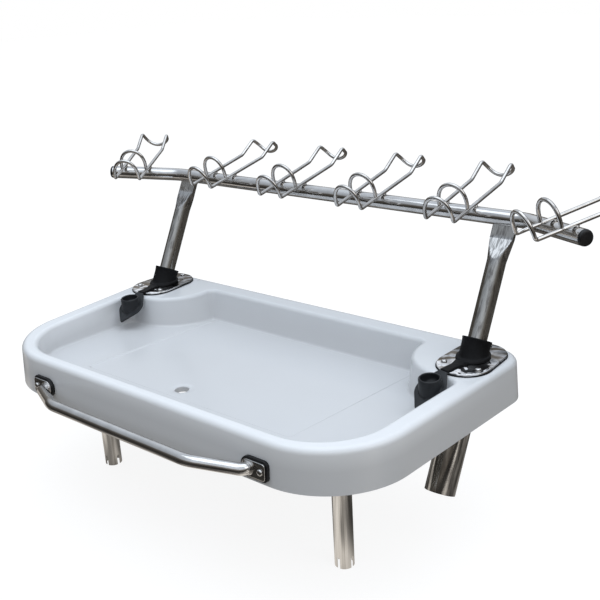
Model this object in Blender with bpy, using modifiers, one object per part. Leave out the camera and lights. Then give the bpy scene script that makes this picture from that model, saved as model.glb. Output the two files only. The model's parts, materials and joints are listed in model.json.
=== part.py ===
import math

import bmesh
import bpy
from mathutils import Matrix, Vector

# Driving dimensions, in metres and degrees

# Frame: the origin is midway between the lower ends of the two legs
rim_height = 0.281  # tray rim above the leg ends
leg_setback = 0.3255  # leg line in front of the tray's back edge

# Moulded tray
back_width = 0.870
front_width = 0.808
tray_depth = 0.470
skirt_height = 0.070
skirt_flare = 3.0  # the skirt leans out towards its lower edge
wall = 0.005
front_corner = 0.143
back_corner = 0.050
rim_round = 0.010
rim_side = 0.036
rim_front = 0.026
rim_back = 0.044
lip_round = 0.008
well_draft = 4.0
well_floor_round = 0.010
well_front_corner = 0.110
well_back_corner = 0.014
floor_depth_front = 0.042
floor_depth_back = 0.062
pad_reach = 0.175  # landing pads reach this far in from the ends of the back edge
pad_front_y = -0.1566  # front of the landing pads
pad_corner = 0.052
pad_root_corner = 0.014
panel_step = 0.0025
panel_edge = 0.0035
panel_end_inset = 0.004
drain_x = -0.038
drain_y = -0.345
drain_radius = 0.0125
boss_radius = 0.046
boss_face_z = -0.0615

# Rod holders
holder_inset = 0.05192  # in from the tray's side, where the hanging cap passes it
holder_y = -0.0762
holder_lean = 27.45
holder_tube_radius = 0.0254
holder_tube_wall = 0.0016
holder_tube_reach = 0.220
flange_half_width = 0.048
flange_half_length = 0.069
flange_thickness = 0.0026
flange_edge = 0.0009
gasket_thickness = 0.0016
gasket_rim = 0.0014
flange_screw_x = 0.031
flange_screw_front_y = -0.036
flange_screw_back_y = 0.0575
pin_radius = 0.0032
pin_inset = 0.015

# Rubber sleeve with its tethered cap
sleeve_radius = 0.0242
sleeve_rise = 0.0365
sleeve_drop = 0.190
collar_radius = 0.0305
collar_height = 0.0045
strap_half_width = 0.0075
strap_thickness = 0.003
tether_reach = 0.0705  # cap hinge in front of the holder's axis
tether_turn = 8.5  # strap and cap point a little towards the middle
cap_barrel_radius = 0.0018
cap_disc_radius = 0.0265
cap_disc_centre = 0.040
cap_tip = 0.081
cap_tip_round = 0.0035
cap_thickness = 0.004
plug_radius = 0.0185
plug_bore = 0.0150
plug_height = 0.0205

# Rod rack
post_radius = 0.0159
post_wall = 0.0016
post_round_top = 0.168
post_tab_start = 0.206
post_tab_half_width = 0.0212
post_tab_half_thickness = 0.0042
pin_slot_half_width = 0.0037
post_below_pin = 0.0095
rail_height = 0.2135
rail_radius = 0.0132
rail_wall = 0.0016
rail_corner_reach = 0.034  # rail starts to bend this far outside the posts
rail_end_angle = 30.0
rail_end_length = 0.149
rail_end_rise = 0.0085
rail_bend = 0.060
plug_head = 0.006
plug_head_overhang = -0.0004
plug_shank = 0.018

# Rod rests, bent from wire
wire_radius = 0.0034
rest_spread = 0.4563  # pitch of the inner rests, as a share of the distance to the rail's corner
rest_front_half_width = 0.0262
rest_back_half_width = 0.0285
rest_on_end = 0.098  # outer rests, along the rail from its corner
rest_shift = 0.008  # the row stands a little off the middle
arm_rise = 12.0
arm_front = 0.070
arm_back = 0.086
kick_rise = 35.0
kick_length = 0.045
saddle_back = 0.020
saddle_drop = 0.026
peak_bend = 0.007
front_hoop_height = 0.043
front_hoop_lean = 20.0
second_hoop_setback = 0.026
second_hoop_height = 0.037
second_hoop_lean = 15.0

# Grab handle on the front of the tray
handle_z = -0.047
handle_radius = 0.0095
handle_inset = 0.02213  # middle of the end plates, in from where the front corners start to round
handle_foot_inset = 0.010  # tube's foot, from the middle of its plate
handle_corner_inset = 0.088
handle_standoff = 0.052
handle_lift = 0.005  # the rail rises a little from its feet
handle_bend = 0.060
plate_thickness = 0.0025
plate_half_width = 0.0225
plate_half_height = 0.0135
plate_outer_corner = 0.005
plate_inner_corner = 0.0125
handle_pad_thickness = 0.005
handle_pad_margin = 0.0032
handle_screw_outset = 0.0145

# Legs
leg_inset = 0.119  # in from the ends of the front edge
leg_radius = 0.016
leg_wall = 0.0018
leg_slot_width = 0.006
leg_slot_depth = 0.020
leg_plate_radius = 0.040
leg_plate_thickness = 0.004
leg_screw_circle = 0.030

# Fasteners
screw_radius = 0.0025
screw_head_radius = 0.0050
screw_head_height = 0.0032
nut_across = 0.0080
nut_height = 0.0040

# Clearances
gap = 0.0003  # between pieces that touch
hole_gap = 0.0003  # around a screw or pin in its hole
tray_hole_gap = 0.0010  # around the holder tube in the tray

# Facets
turn_steps = 20
small_steps = 8
corner_steps = 7
wire_bevel_steps = 2  # a curve with n bevel steps has 2n + 4 sides
rail_bevel_steps = 3

# Derived places
lean = math.radians(holder_lean)
flare = math.radians(skirt_flare)
sides = (("left", -1.0), ("right", 1.0))
side_taper = (back_width - front_width) / 2 / tray_depth
cap_side_y = pad_front_y - cap_disc_radius
holder_x = back_width / 2 + side_taper * cap_side_y - holder_inset
pad_inner_x = back_width / 2 - pad_reach
panel_half_width = pad_inner_x
leg_x = front_width / 2 - leg_inset
front_turn = math.radians(90) - math.atan(side_taper)
front_flat_end = front_width / 2 - front_corner * math.tan(front_turn / 2)
plate_centre_x = front_flat_end - handle_inset
handle_foot_x = plate_centre_x - handle_foot_inset
handle_corner_x = plate_centre_x - handle_corner_inset
handle_screw_x = plate_centre_x + handle_screw_outset
rail_corner_x = holder_x + rail_corner_reach
rest_pitch = rail_corner_x * rest_spread
gasket_bottom = gap
gasket_top = gasket_bottom + gasket_thickness
flange_bottom = gasket_top + gap
flange_top = flange_bottom + flange_thickness
holder_bore = holder_tube_radius - holder_tube_wall
sleeve_bore = post_radius + gap
sleeve_fit_radius = holder_bore - gap
pin_along = pin_inset - holder_tube_reach
post_bottom = pin_along - post_below_pin
rail_along = rail_height / math.cos(lean)
rail_y = holder_y + rail_height * math.tan(lean)
hinge_z = flange_top + gap + strap_thickness / 2
floor_top_y = -rim_back
floor_bottom_y = rim_front - tray_depth
barrel_lift = max(0.0, cap_barrel_radius - strap_thickness / 2)
hinge_height = hinge_z + barrel_lift
hinge_front = holder_y - tether_reach * math.cos(math.radians(tether_turn))


def clear_scene():
    for item in list(bpy.data.objects):
        bpy.data.objects.remove(item)


def make_collection(name):
    group = bpy.data.collections.new(name)
    bpy.context.scene.collection.children.link(group)
    return group


def make_material(name, colour, roughness, metallic):
    material = bpy.data.materials.new(name)
    material.use_nodes = True
    shader = material.node_tree.nodes["Principled BSDF"]
    shader.inputs["Base Color"].default_value = (*colour, 1.0)
    shader.inputs["Roughness"].default_value = roughness
    shader.inputs["Metallic"].default_value = metallic
    return material


def finish_object(name, data, parent, material):
    item = bpy.data.objects.new(name, data)
    parts.objects.link(item)
    item.parent = parent
    if material is not None:
        item.data.materials.append(material)
    if isinstance(data, bpy.types.Mesh):
        data.shade_smooth()
        data.set_sharp_from_angle(angle=math.radians(35))
    return item


def make_empty(name, parent=None, location=(0, 0, 0), rotation=(0, 0, 0)):
    item = bpy.data.objects.new(name, None)
    item.location = location
    item.rotation_euler = rotation
    item.parent = parent
    parts.objects.link(item)
    return item


def mesh_from(bm, name):
    bmesh.ops.recalc_face_normals(bm, faces=bm.faces)
    data = bpy.data.meshes.new(name)
    bm.to_mesh(data)
    bm.free()
    return data


def loft_mesh(name, rings, closed_ring=False):
    """Skin over rings that have the same number of points; the ends are capped, or joined to each other."""
    bm = bmesh.new()
    rows = [[bm.verts.new(point) for point in ring] for ring in rings]
    count = len(rows[0])
    pairs = list(zip(rows, rows[1:]))
    if closed_ring:
        pairs.append((rows[-1], rows[0]))
    for low, high in pairs:
        for i in range(count):
            j = (i + 1) % count
            bm.faces.new((low[i], low[j], high[j], high[i]))
    if not closed_ring:
        bm.faces.new(rows[0])
        bm.faces.new(rows[-1])
    return mesh_from(bm, name)


def bar_mesh(name, radius, low, high, steps=turn_steps, axis="Z"):
    bm = bmesh.new()
    bmesh.ops.create_cone(
        bm, cap_ends=True, segments=steps, radius1=radius, radius2=radius, depth=high - low
    )
    bmesh.ops.translate(bm, verts=bm.verts, vec=(0, 0, (low + high) / 2))
    if axis == "Y":
        bmesh.ops.rotate(bm, verts=bm.verts, matrix=Matrix.Rotation(math.radians(-90), 3, "X"))
    return mesh_from(bm, name)


def box_mesh(name, low, high):
    bm = bmesh.new()
    bmesh.ops.create_cube(bm, size=1.0)
    size = [b - a for a, b in zip(low, high)]
    centre = [(a + b) / 2 for a, b in zip(low, high)]
    bmesh.ops.scale(bm, verts=bm.verts, vec=size)
    bmesh.ops.translate(bm, verts=bm.verts, vec=centre)
    return mesh_from(bm, name)


def join_meshes(name, meshes):
    """Several separate closed meshes in one, for a cutter that makes several holes."""
    bm = bmesh.new()
    for data in meshes:
        bm.from_mesh(data)
    return mesh_from(bm, name)


def moved_mesh(data, matrix):
    data.transform(matrix)
    return data


def make_cutter(name, data, parent):
    item = bpy.data.objects.new(name, data)
    cutters.objects.link(item)
    item.parent = parent
    item.hide_render = True
    item.display_type = "WIRE"
    return item


def boolean(item, cutter, operation="DIFFERENCE"):
    modifier = item.modifiers.new(operation.lower(), "BOOLEAN")
    modifier.operation = operation
    modifier.solver = "EXACT"
    modifier.object = cutter
    return item


def turned(name, profile, parent, material, steps=turn_steps):
    """A solid of revolution about local Z; the profile runs down its outer side at +X."""
    data = bpy.data.meshes.new(name)
    points = [(radius, 0.0, height) for radius, height in profile]
    data.from_pydata(points, [(i, i + 1) for i in range(len(points) - 1)], [])
    item = finish_object(name, data, parent, material)
    screw = item.modifiers.new("turn", "SCREW")
    screw.steps = steps
    screw.render_steps = steps
    screw.use_merge_vertices = True
    screw.merge_threshold = 0.00001
    screw.use_smooth_shade = True
    return item


def rounded_outline(corners, radii, steps, grow=0.0):
    """A closed anticlockwise outline with every side moved out by grow and every corner rounded."""
    count = len(corners)
    points = [Vector(corner) for corner in corners]
    normals = []
    for i in range(count):
        side = (points[(i + 1) % count] - points[i]).normalized()
        normals.append(Vector((side.y, -side.x)))
    outline = []
    for i in range(count):
        before, after = normals[i - 1], normals[i]
        corner = points[i] + (before + after) * (grow / (1.0 + before.dot(after)))
        turn = before.x * after.y - before.y * after.x
        radius = max(radii[i] + (grow if turn > 0 else -grow), 0.0008)
        angle = math.atan2(turn, before.dot(after))
        back = radius * math.tan(abs(angle) / 2)
        side_in = Vector((-before.y, before.x))
        sign = 1.0 if turn > 0 else -1.0
        centre = corner - side_in * back - before * (radius * sign)
        start = math.atan2(before.y * sign, before.x * sign)
        for k in range(steps[i] + 1):
            a = start + angle * k / steps[i]
            outline.append(centre + Vector((math.cos(a), math.sin(a))) * radius)
    return outline


def rounded_path(corners, radii, steps=5, cyclic=False):
    """A path in space through the corners, with each corner bent to its radius."""
    points = [Vector(corner) for corner in corners]
    count = len(points)
    path = []
    for i in range(count):
        if radii[i] == 0 or (not cyclic and i in (0, count - 1)):
            path.append(points[i])
            continue
        to_before = (points[i - 1] - points[i]).normalized()
        to_after = (points[(i + 1) % count] - points[i]).normalized()
        angle = to_before.angle(to_after)
        reach = radii[i] / math.tan(angle / 2)
        centre = points[i] + (to_before + to_after).normalized() * (radii[i] / math.sin(angle / 2))
        first = points[i] + to_before * reach - centre
        axis = to_after.cross(to_before)
        for k in range(steps + 1):
            turned_by = Matrix.Rotation((math.pi - angle) * k / steps, 3, axis)
            path.append(centre + turned_by @ first)
    return path


def wire(name, path, radius, parent, material, cyclic=False, level=wire_bevel_steps):
    curve = bpy.data.curves.new(name, "CURVE")
    curve.dimensions = "3D"
    curve.bevel_depth = radius
    curve.bevel_resolution = level
    curve.use_fill_caps = not cyclic
    curve.render_resolution_u = 0
    spline = curve.splines.new("POLY")
    spline.points.add(len(path) - 1)
    for point, place in zip(spline.points, path):
        point.co = (*place, 1.0)
    spline.use_cyclic_u = cyclic
    return finish_object(name, curve, parent, material)


def solid_from_curve(item):
    """The same piece as a closed mesh, so that it can be cut and joined."""
    bpy.context.view_layer.update()
    evaluated = item.evaluated_get(bpy.context.evaluated_depsgraph_get())
    data = bpy.data.meshes.new_from_object(evaluated)
    bm = bmesh.new()
    bm.from_mesh(data)
    bmesh.ops.remove_doubles(bm, verts=bm.verts, dist=0.00001)
    bmesh.ops.recalc_face_normals(bm, faces=bm.faces)
    bm.to_mesh(data)
    bm.free()
    name, parent = item.name, item.parent
    place = item.matrix_world.copy()
    materials = list(item.data.materials)
    bpy.data.objects.remove(item)
    solid = finish_object(name, data, parent, None)
    if materials and not data.materials:
        data.materials.append(materials[0])
    solid.matrix_world = place
    return solid


def extruded(name, outline, low, high, parent, material, edge=0.0):
    """A flat plate from a closed outline in the local XY plane."""
    curve = bpy.data.curves.new(name, "CURVE")
    curve.dimensions = "2D"
    curve.fill_mode = "BOTH"
    curve.extrude = (high - low) / 2 - edge
    curve.bevel_depth = edge
    curve.bevel_resolution = 0
    curve.offset = -edge
    curve.render_resolution_u = 0
    spline = curve.splines.new("POLY")
    spline.points.add(len(outline) - 1)
    for point, place in zip(spline.points, outline):
        point.co = (place[0], place[1], 0.0, 1.0)
    spline.use_cyclic_u = True
    item = finish_object(name, curve, parent, material)
    item.location = (0, 0, (low + high) / 2)
    return solid_from_curve(item)


def floor_z(y):
    share = (y - floor_bottom_y) / (floor_top_y - floor_bottom_y)
    return -(floor_depth_front + (floor_depth_back - floor_depth_front) * share)


def outer_ring(z, grow):
    corners = [
        (back_width / 2, 0.0),
        (-back_width / 2, 0.0),
        (-front_width / 2, -tray_depth),
        (front_width / 2, -tray_depth),
    ]
    radii = [back_corner, back_corner, front_corner, front_corner]
    steps = [corner_steps, corner_steps, corner_steps + 4, corner_steps + 4]
    return [(p.x, p.y, z) for p in rounded_outline(corners, radii, steps, grow)]


def rim_inner_x(y):
    half = back_width / 2 + (back_width - front_width) / 2 * y / tray_depth
    return half - rim_side


def well_corners():
    right = [
        ((pad_inner_x, -rim_back), well_back_corner, 4),
        ((pad_inner_x, pad_front_y), pad_corner, corner_steps),
        ((rim_inner_x(pad_front_y), pad_front_y), pad_root_corner, 4),
        ((rim_inner_x(floor_bottom_y), floor_bottom_y), well_front_corner, corner_steps + 2),
    ]
    left = [((-x, y), radius, steps) for (x, y), radius, steps in right]
    return left + right[::-1]


def well_ring(height, grow):
    listed = well_corners()
    corners = [corner for corner, radius, steps in listed]
    radii = [radius for corner, radius, steps in listed]
    steps = [steps for corner, radius, steps in listed]
    return [(p.x, p.y, height(p.y)) for p in rounded_outline(corners, radii, steps, grow)]


def panel_ring(height, grow):
    inset = math.tan(math.radians(well_draft)) * floor_depth_back + well_floor_round
    inset += panel_end_inset
    x, narrow = panel_half_width, pad_inner_x - inset
    left = [
        (-narrow, floor_top_y - inset),
        (-narrow, pad_front_y + pad_corner * 0.55),
        (-x, pad_front_y),
        (-x, floor_bottom_y + inset),
    ]
    corners = left + [(-cx, cy) for cx, cy in reversed(left)]
    radii = [0.012, 0.040, 0.060, 0.012]
    ring = rounded_outline(corners, radii + radii[::-1], [4, 2, 2, 4, 4, 2, 2, 4], grow)
    return [(p.x, p.y, height(p.y)) for p in ring]


def build_tray():
    """One moulded skin from the skirt's lower edge over the rim and down into the well."""
    bm = bmesh.new()

    def row(ring):
        return [bm.verts.new(point) for point in ring]

    def join(a, b):
        for i in range(len(a)):
            j = (i + 1) % len(a)
            bm.faces.new((a[i], a[j], b[j], b[i]))

    def edges_of(ring):
        return [bm.edges.get((ring[i], ring[(i + 1) % len(ring)])) for i in range(len(ring))]

    def edge_loop(ring):
        return [bm.edges.new((ring[i], ring[(i + 1) % len(ring)])) for i in range(len(ring))]

    rows = [row(outer_ring(-skirt_height, math.tan(flare) * (skirt_height - rim_round)))]
    rim_steps = 3
    for k in range(rim_steps + 1):
        a = math.radians(90) * k / rim_steps
        grow = rim_round * (math.cos(a) - 1.0)
        rows.append(row(outer_ring(-rim_round * (1.0 - math.sin(a)), grow)))
    for a, b in zip(rows, rows[1:]):
        join(a, b)
    lip_rows = []
    lip_steps = 2
    for k in range(lip_steps + 1):
        a = math.radians(90) * k / lip_steps
        z = -lip_round * (1.0 - math.cos(a))
        lip_rows.append(row(well_ring(lambda y, z=z: z, lip_round * (1.0 - math.sin(a)))))
    slope = math.tan(math.radians(well_draft))
    for k in range(3):
        a = math.radians(90) * k / 2
        drop = well_floor_round * (1.0 - math.sin(a))
        inset = slope * floor_depth_back + well_floor_round * (1.0 - math.cos(a))
        lip_rows.append(row(well_ring(lambda y, drop=drop: floor_z(y) + drop, -inset)))
    for a, b in zip(lip_rows, lip_rows[1:]):
        join(a, b)
    rim_edges = edges_of(rows[-1]) + edges_of(lip_rows[0])
    bmesh.ops.triangle_fill(bm, use_beauty=True, use_dissolve=False, edges=rim_edges)
    panel_top = row(panel_ring(floor_z, 0.0))
    panel_low = row(panel_ring(lambda y: floor_z(y) - panel_step, -panel_edge))
    join(panel_top, panel_low)
    floor_edges = edges_of(lip_rows[-1]) + edges_of(panel_top)
    bmesh.ops.triangle_fill(bm, use_beauty=True, use_dissolve=False, edges=floor_edges)
    bmesh.ops.triangle_fill(bm, use_beauty=True, use_dissolve=False, edges=edges_of(panel_low))
    bmesh.ops.recalc_face_normals(bm, faces=bm.faces)
    top = max(bm.faces, key=lambda face: face.calc_center_median().z)
    if top.normal.z < 0:
        bmesh.ops.reverse_faces(bm, faces=bm.faces)
    data = bpy.data.meshes.new("tray")
    bm.to_mesh(data)
    bm.free()
    tray = finish_object("tray", data, tray_frame, white_plastic)
    shell = tray.modifiers.new("shell", "SOLIDIFY")
    shell.thickness = wall
    shell.offset = -1.0
    shell.use_even_offset = True
    shell.use_quality_normals = True
    bosses = []
    for side, sign in sides:
        top_z = floor_z(leg_y()) - wall / 2
        boss = bar_mesh(side + "_boss", boss_radius, boss_face_z, top_z, turn_steps)
        bosses.append(moved_mesh(boss, Matrix.Translation((sign * leg_x, leg_y(), 0))))
    boolean(tray, make_cutter("tray_bosses", join_meshes("tray_bosses", bosses), tray_frame), "UNION")
    boolean(tray, make_cutter("tray_holes", tray_hole_mesh(), tray_frame))
    for side, sign in sides:
        hole = bar_mesh(side + "_tube_hole", holder_tube_radius + tray_hole_gap, -0.05, 0.05)
        boolean(tray, make_cutter(side + "_tube_hole", hole, holder_frames[side]))
    skirt_holes = [
        moved_mesh(
            bar_mesh("skirt_hole", screw_radius + hole_gap, -0.02, 0.02, small_steps, "Y"),
            Matrix.Translation((sign * handle_screw_x, 0, 0)),
        )
        for side, sign in sides
    ]
    boolean(tray, make_cutter("skirt_holes", join_meshes("skirt_holes", skirt_holes), handle_frame))
    return tray


def leg_y():
    return -leg_setback


def flange_screw_places():
    return [
        (-flange_screw_x, flange_screw_front_y),
        (flange_screw_x, flange_screw_front_y),
        (0.0, flange_screw_back_y),
    ]


def leg_screw_places():
    places = []
    for k in range(3):
        a = math.radians(90 + 120 * k)
        places.append((leg_screw_circle * math.cos(a), leg_screw_circle * math.sin(a)))
    return places


def tray_hole_mesh():
    """Cutters for the drain, the flange screws and the blind holes of the leg screws."""
    holes = [
        moved_mesh(
            bar_mesh("drain", drain_radius, -0.08, -0.02), Matrix.Translation((drain_x, drain_y, 0))
        )
    ]
    for side, sign in sides:
        for x, y in flange_screw_places():
            hole = bar_mesh("hole", screw_radius + hole_gap, -0.02, 0.02, small_steps)
            holes.append(moved_mesh(hole, Matrix.Translation((sign * holder_x + x, holder_y + y, 0))))
        for x, y in leg_screw_places():
            top = boss_face_z + leg_screw_bite() + gap
            hole = bar_mesh("hole", screw_radius + hole_gap, boss_face_z - 0.01, top, small_steps)
            holes.append(moved_mesh(hole, Matrix.Translation((sign * leg_x + x, leg_y() + y, 0))))
    return join_meshes("tray_holes", holes)


def leg_screw_bite():
    return 0.0060


def oval(grow=0.0):
    """The flange's outline: straight sides and full round ends, a little narrower at the back."""
    w, l = flange_half_width, flange_half_length
    back = w * 0.86
    corners = [(back, l), (-back, l), (-w, -l), (w, -l)]
    radii = [back * 0.98, back * 0.98, w * 0.96, w * 0.96]
    return rounded_outline(corners, radii, [7] * 4, grow)


def slanted_ring(radius, z, steps=turn_steps):
    """Where a round about the leaning axis meets the level plane at height z, in the axis frame."""
    ring = []
    for k in range(steps):
        a = 2 * math.pi * k / steps
        x, y = radius * math.cos(a), radius * math.sin(a)
        ring.append((x, y, (z + y * math.sin(lean)) / math.cos(lean)))
    return ring


def square_ring(radius, along, steps=turn_steps):
    ring = []
    for k in range(steps):
        a = 2 * math.pi * k / steps
        ring.append((radius * math.cos(a), radius * math.sin(a), along))
    return ring


def screw_profile(shank):
    """Pan head above local zero and a plain shank below it."""
    h, r = screw_head_height, screw_head_radius
    return [
        (0.0, h),
        (r * 0.7, h * 0.88),
        (r, h * 0.3),
        (r, 0.0),
        (screw_radius, 0.0),
        (screw_radius, -shank),
        (0.0, -shank),
    ]


def hex_nut(name, parent, material, location, rotation=(0, 0, 0)):
    outer = nut_across / 2 / math.cos(math.radians(30))
    count = 6
    rings = []
    bore = (screw_radius + hole_gap) / math.cos(math.radians(30))
    for radius, z in ((outer, 0.0), (outer, nut_height), (bore, nut_height), (bore, 0.0)):
        ring = []
        for k in range(count):
            a = 2 * math.pi * k / count
            ring.append((radius * math.cos(a), radius * math.sin(a), z))
        rings.append(ring)
    nut = finish_object(name, loft_mesh(name, rings, True), parent, material)
    nut.location = location
    nut.rotation_euler = rotation
    return nut


def build_holder(side, sign):
    """Flange and leaning tube in one, with the gasket, the cross pin and the fasteners."""
    flat = flat_frames[side]
    axis = holder_frames[side]
    flange = extruded(
        side + "_rod_holder", oval(), flange_bottom, flange_top, flat, polished_steel, flange_edge
    )
    middle = (flange_bottom + flange_top) / 2
    tube = loft_mesh(
        "tube",
        [square_ring(holder_tube_radius, -holder_tube_reach), slanted_ring(holder_tube_radius, middle)],
    )
    boolean(flange, make_cutter(side + "_holder_tube", tube, axis), "UNION")
    bore = bar_mesh("bore", holder_bore, -holder_tube_reach - 0.02, 0.06)
    boolean(flange, make_cutter(side + "_holder_bore", bore, axis))
    pin_hole = bar_mesh("pin_hole", pin_radius + hole_gap, -0.05, 0.05, small_steps, "Y")
    moved_mesh(pin_hole, Matrix.Translation((0, 0, pin_along)))
    boolean(flange, make_cutter(side + "_holder_pin_hole", pin_hole, axis))
    holes = []
    for x, y in flange_screw_places():
        hole = bar_mesh("hole", screw_radius + hole_gap, -0.02, 0.02, small_steps)
        holes.append(moved_mesh(hole, Matrix.Translation((x, y, 0))))
    screw_holes = make_cutter(side + "_flange_holes", join_meshes("holes", holes), flat)
    boolean(flange, screw_holes)

    gasket = extruded(
        side + "_holder_gasket", oval(gasket_rim), gasket_bottom, gasket_top, flat, black_rubber
    )
    opening = bar_mesh("opening", holder_tube_radius + hole_gap, -0.05, 0.05)
    boolean(gasket, make_cutter(side + "_gasket_opening", opening, axis))
    boolean(gasket, screw_holes)

    pin_reach = holder_tube_radius - 0.0004
    pin = bar_mesh("pin", pin_radius, -pin_reach, pin_reach, small_steps, "Y")
    pin_item = finish_object(side + "_holder_pin", pin, axis, polished_steel)
    pin_item.location = (0, 0, pin_along)

    shank = flange_top + wall + nut_height + 0.0015
    for number, (x, y) in enumerate(flange_screw_places(), 1):
        name = f"{side}_flange_screw_{number}"
        screw = turned(name, screw_profile(shank), flat, polished_steel, small_steps)
        screw.location = (x, y, flange_top + gap)
        nut = f"{side}_flange_nut_{number}"
        hex_nut(nut, flat, polished_steel, (x, y, -wall - gap - nut_height))


def build_sleeve(side, sign):
    """Rubber sleeve that lines the holder, with its collar and the strap that carries the cap."""
    axis = holder_frames[side]
    tether = tether_frames[side]
    seat = flange_top + gap
    rings = [
        square_ring(sleeve_bore, -sleeve_drop),
        square_ring(sleeve_fit_radius, -sleeve_drop),
        slanted_ring(sleeve_fit_radius, seat),
        slanted_ring(collar_radius, seat),
        slanted_ring(collar_radius, seat + collar_height * 0.7),
        slanted_ring(collar_radius - 0.0015, seat + collar_height),
        slanted_ring(sleeve_radius, seat + collar_height + 0.0012),
        square_ring(sleeve_radius, sleeve_rise - 0.001),
        square_ring(sleeve_radius - 0.001, sleeve_rise),
        square_ring(sleeve_bore, sleeve_rise),
    ]
    sleeve = finish_object(
        side + "_holder_sleeve", loft_mesh("sleeve", rings, True), axis, black_rubber
    )
    near = -(collar_radius + sleeve_radius) / 2
    strap = box_mesh(
        "strap",
        (-strap_half_width, -tether_reach, seat),
        (strap_half_width, near, seat + strap_thickness),
    )
    barrel = bar_mesh("barrel", cap_barrel_radius, -strap_half_width, strap_half_width, small_steps)
    moved_mesh(barrel, Matrix.Rotation(math.radians(90), 4, "Y"))
    moved_mesh(barrel, Matrix.Translation((0, -tether_reach, hinge_height)))
    boolean(sleeve, make_cutter(side + "_strap", strap, tether), "UNION")
    boolean(sleeve, make_cutter(side + "_barrel", barrel, tether), "UNION")


def resting_droop():
    """How far the lid hangs below level when its underside lies on the round edge of the landing pad."""
    ahead = hinge_front - (pad_front_y + lip_round)
    below = hinge_height + lip_round
    skew = strap_half_width * math.sin(math.radians(tether_turn))
    reach = lip_round + cap_thickness / 2 + gap + skew
    return math.acos(reach / math.hypot(ahead, below)) - math.atan2(ahead, below)


def cap_outline():
    """Teardrop lid seen from its plug side: neck at the hinge, round disc, pointed pull tab."""
    start = cap_barrel_radius + gap * 2
    centre, radius = cap_disc_centre, cap_disc_radius
    neck = math.asin(strap_half_width / radius)
    tip_reach = cap_tip - centre
    touch = math.acos(radius / tip_reach)
    points = [(strap_half_width, -start)]
    steps = 9
    for k in range(steps + 1):
        a = math.radians(90) - neck - (math.radians(180) - neck - touch) * k / steps
        points.append((radius * math.cos(a), -centre + radius * math.sin(a)))
    blunt = cap_tip_round
    points.append((blunt * math.sin(touch), -cap_tip + blunt))
    left = [(-x, y) for x, y in reversed(points)]
    return points + left


def build_cap(side, sign):
    """The hanging lid, hinged at the strap's end; its plug leans in the lid as the tube does."""
    frame = cap_frames[side]
    half = cap_thickness / 2
    outline = cap_outline()[::-1]
    lid = extruded(side + "_holder_cap", outline, -half, half, frame, black_rubber, 0.0)
    plug = loft_mesh(
        "plug",
        [
            slanted_ring(plug_radius, 0.0),
            square_ring(plug_radius, plug_height - 0.001),
            square_ring(plug_radius - 0.001, plug_height),
            square_ring(plug_bore, plug_height),
            slanted_ring(plug_bore - 0.001, half + 0.0005),
        ],
    )
    moved_mesh(plug, Matrix.Rotation(-lean, 4, "X"))
    moved_mesh(plug, Matrix.Translation((0, -cap_disc_centre, 0)))
    boolean(lid, make_cutter(side + "_plug", plug, frame), "UNION")


def flattened_ring(share, along):
    """A round section squashed between two planes: not at all at 0, down to the flat tab at 1."""
    wide = post_radius + (post_tab_half_width - post_radius) * share
    limit = post_radius + (post_tab_half_thickness - post_radius) * share
    ring = []
    for k in range(turn_steps):
        a = 2 * math.pi * k / turn_steps
        y = max(-limit, min(limit, post_radius * math.sin(a)))
        ring.append((wide * math.cos(a), y, along))
    return ring


def build_post(side, sign):
    """Post of the rack: slotted over the cross pin, squashed flat under the rail."""
    axis = holder_frames[side]
    tab_top = rail_along - rail_radius - gap
    rings = [flattened_ring(0.0, post_bottom), flattened_ring(0.0, post_round_top)]
    steps = 4
    for k in range(1, steps + 1):
        share = k / steps
        along = post_round_top + (post_tab_start - post_round_top) * share
        rings.append(flattened_ring(share, along))
    rings.append(flattened_ring(1.0, tab_top))
    post = finish_object(side + "_rack_post", loft_mesh("post", rings), axis, satin_steel)
    bore = bar_mesh("post_bore", post_radius - post_wall, post_bottom - 0.01, post_round_top - 0.02)
    boolean(post, make_cutter(side + "_post_bore", bore, axis))
    slot = box_mesh(
        "slot",
        (-pin_slot_half_width, -0.03, post_bottom - 0.01),
        (pin_slot_half_width, 0.03, pin_along + pin_radius + gap),
    )
    boolean(post, make_cutter(side + "_post_slot", slot, axis))


def rail_end_point():
    a = math.radians(rail_end_angle)
    return Vector(
        (
            rail_corner_x + rail_end_length * math.cos(a),
            rail_y - rail_end_length * math.sin(a),
            rail_height + rail_end_rise,
        )
    )


def build_rail():
    end = rail_end_point()
    corner = Vector((rail_corner_x, rail_y, rail_height))
    path = rounded_path(
        [(-end.x, end.y, end.z), (-corner.x, corner.y, corner.z), corner, end],
        [0, rail_bend, rail_bend, 0],
        5,
    )
    rail = wire("rack_rail", path, rail_radius, tray_frame, polished_steel, False, rail_bevel_steps)
    rail = solid_from_curve(rail)
    past = (path[-1] - path[-2]).normalized() * 0.01
    path[-1] += past
    path[0] += Vector((-past.x, past.y, past.z))
    bore = wire("rail_bore", path, rail_radius - rail_wall, tray_frame, None, False, rail_bevel_steps)
    bore = solid_from_curve(bore)
    parts.objects.unlink(bore)
    cutters.objects.link(bore)
    bore.hide_render = True
    bore.display_type = "WIRE"
    boolean(rail, bore)
    for side, sign in sides:
        place = make_empty(side + "_rail_end", tray_frame, (sign * end.x, end.y, end.z))
        outward = Vector((sign * (end.x - corner.x), end.y - corner.y, end.z - corner.z))
        place.rotation_euler = outward.to_track_quat("Z", "Y").to_euler()
        radius = rail_radius + plug_head_overhang
        flat_to_flat = math.cos(math.pi / (2 * rail_bevel_steps + 4))
        shank = (rail_radius - rail_wall) * flat_to_flat - gap
        profile = [
            (0.0, plug_head),
            (radius - 0.002, plug_head),
            (radius, plug_head - 0.002),
            (radius, gap),
            (shank, gap),
            (shank, -plug_shank),
            (0.0, -plug_shank),
        ]
        turned(side + "_rail_plug", profile, place, black_plastic, 16)


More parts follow.
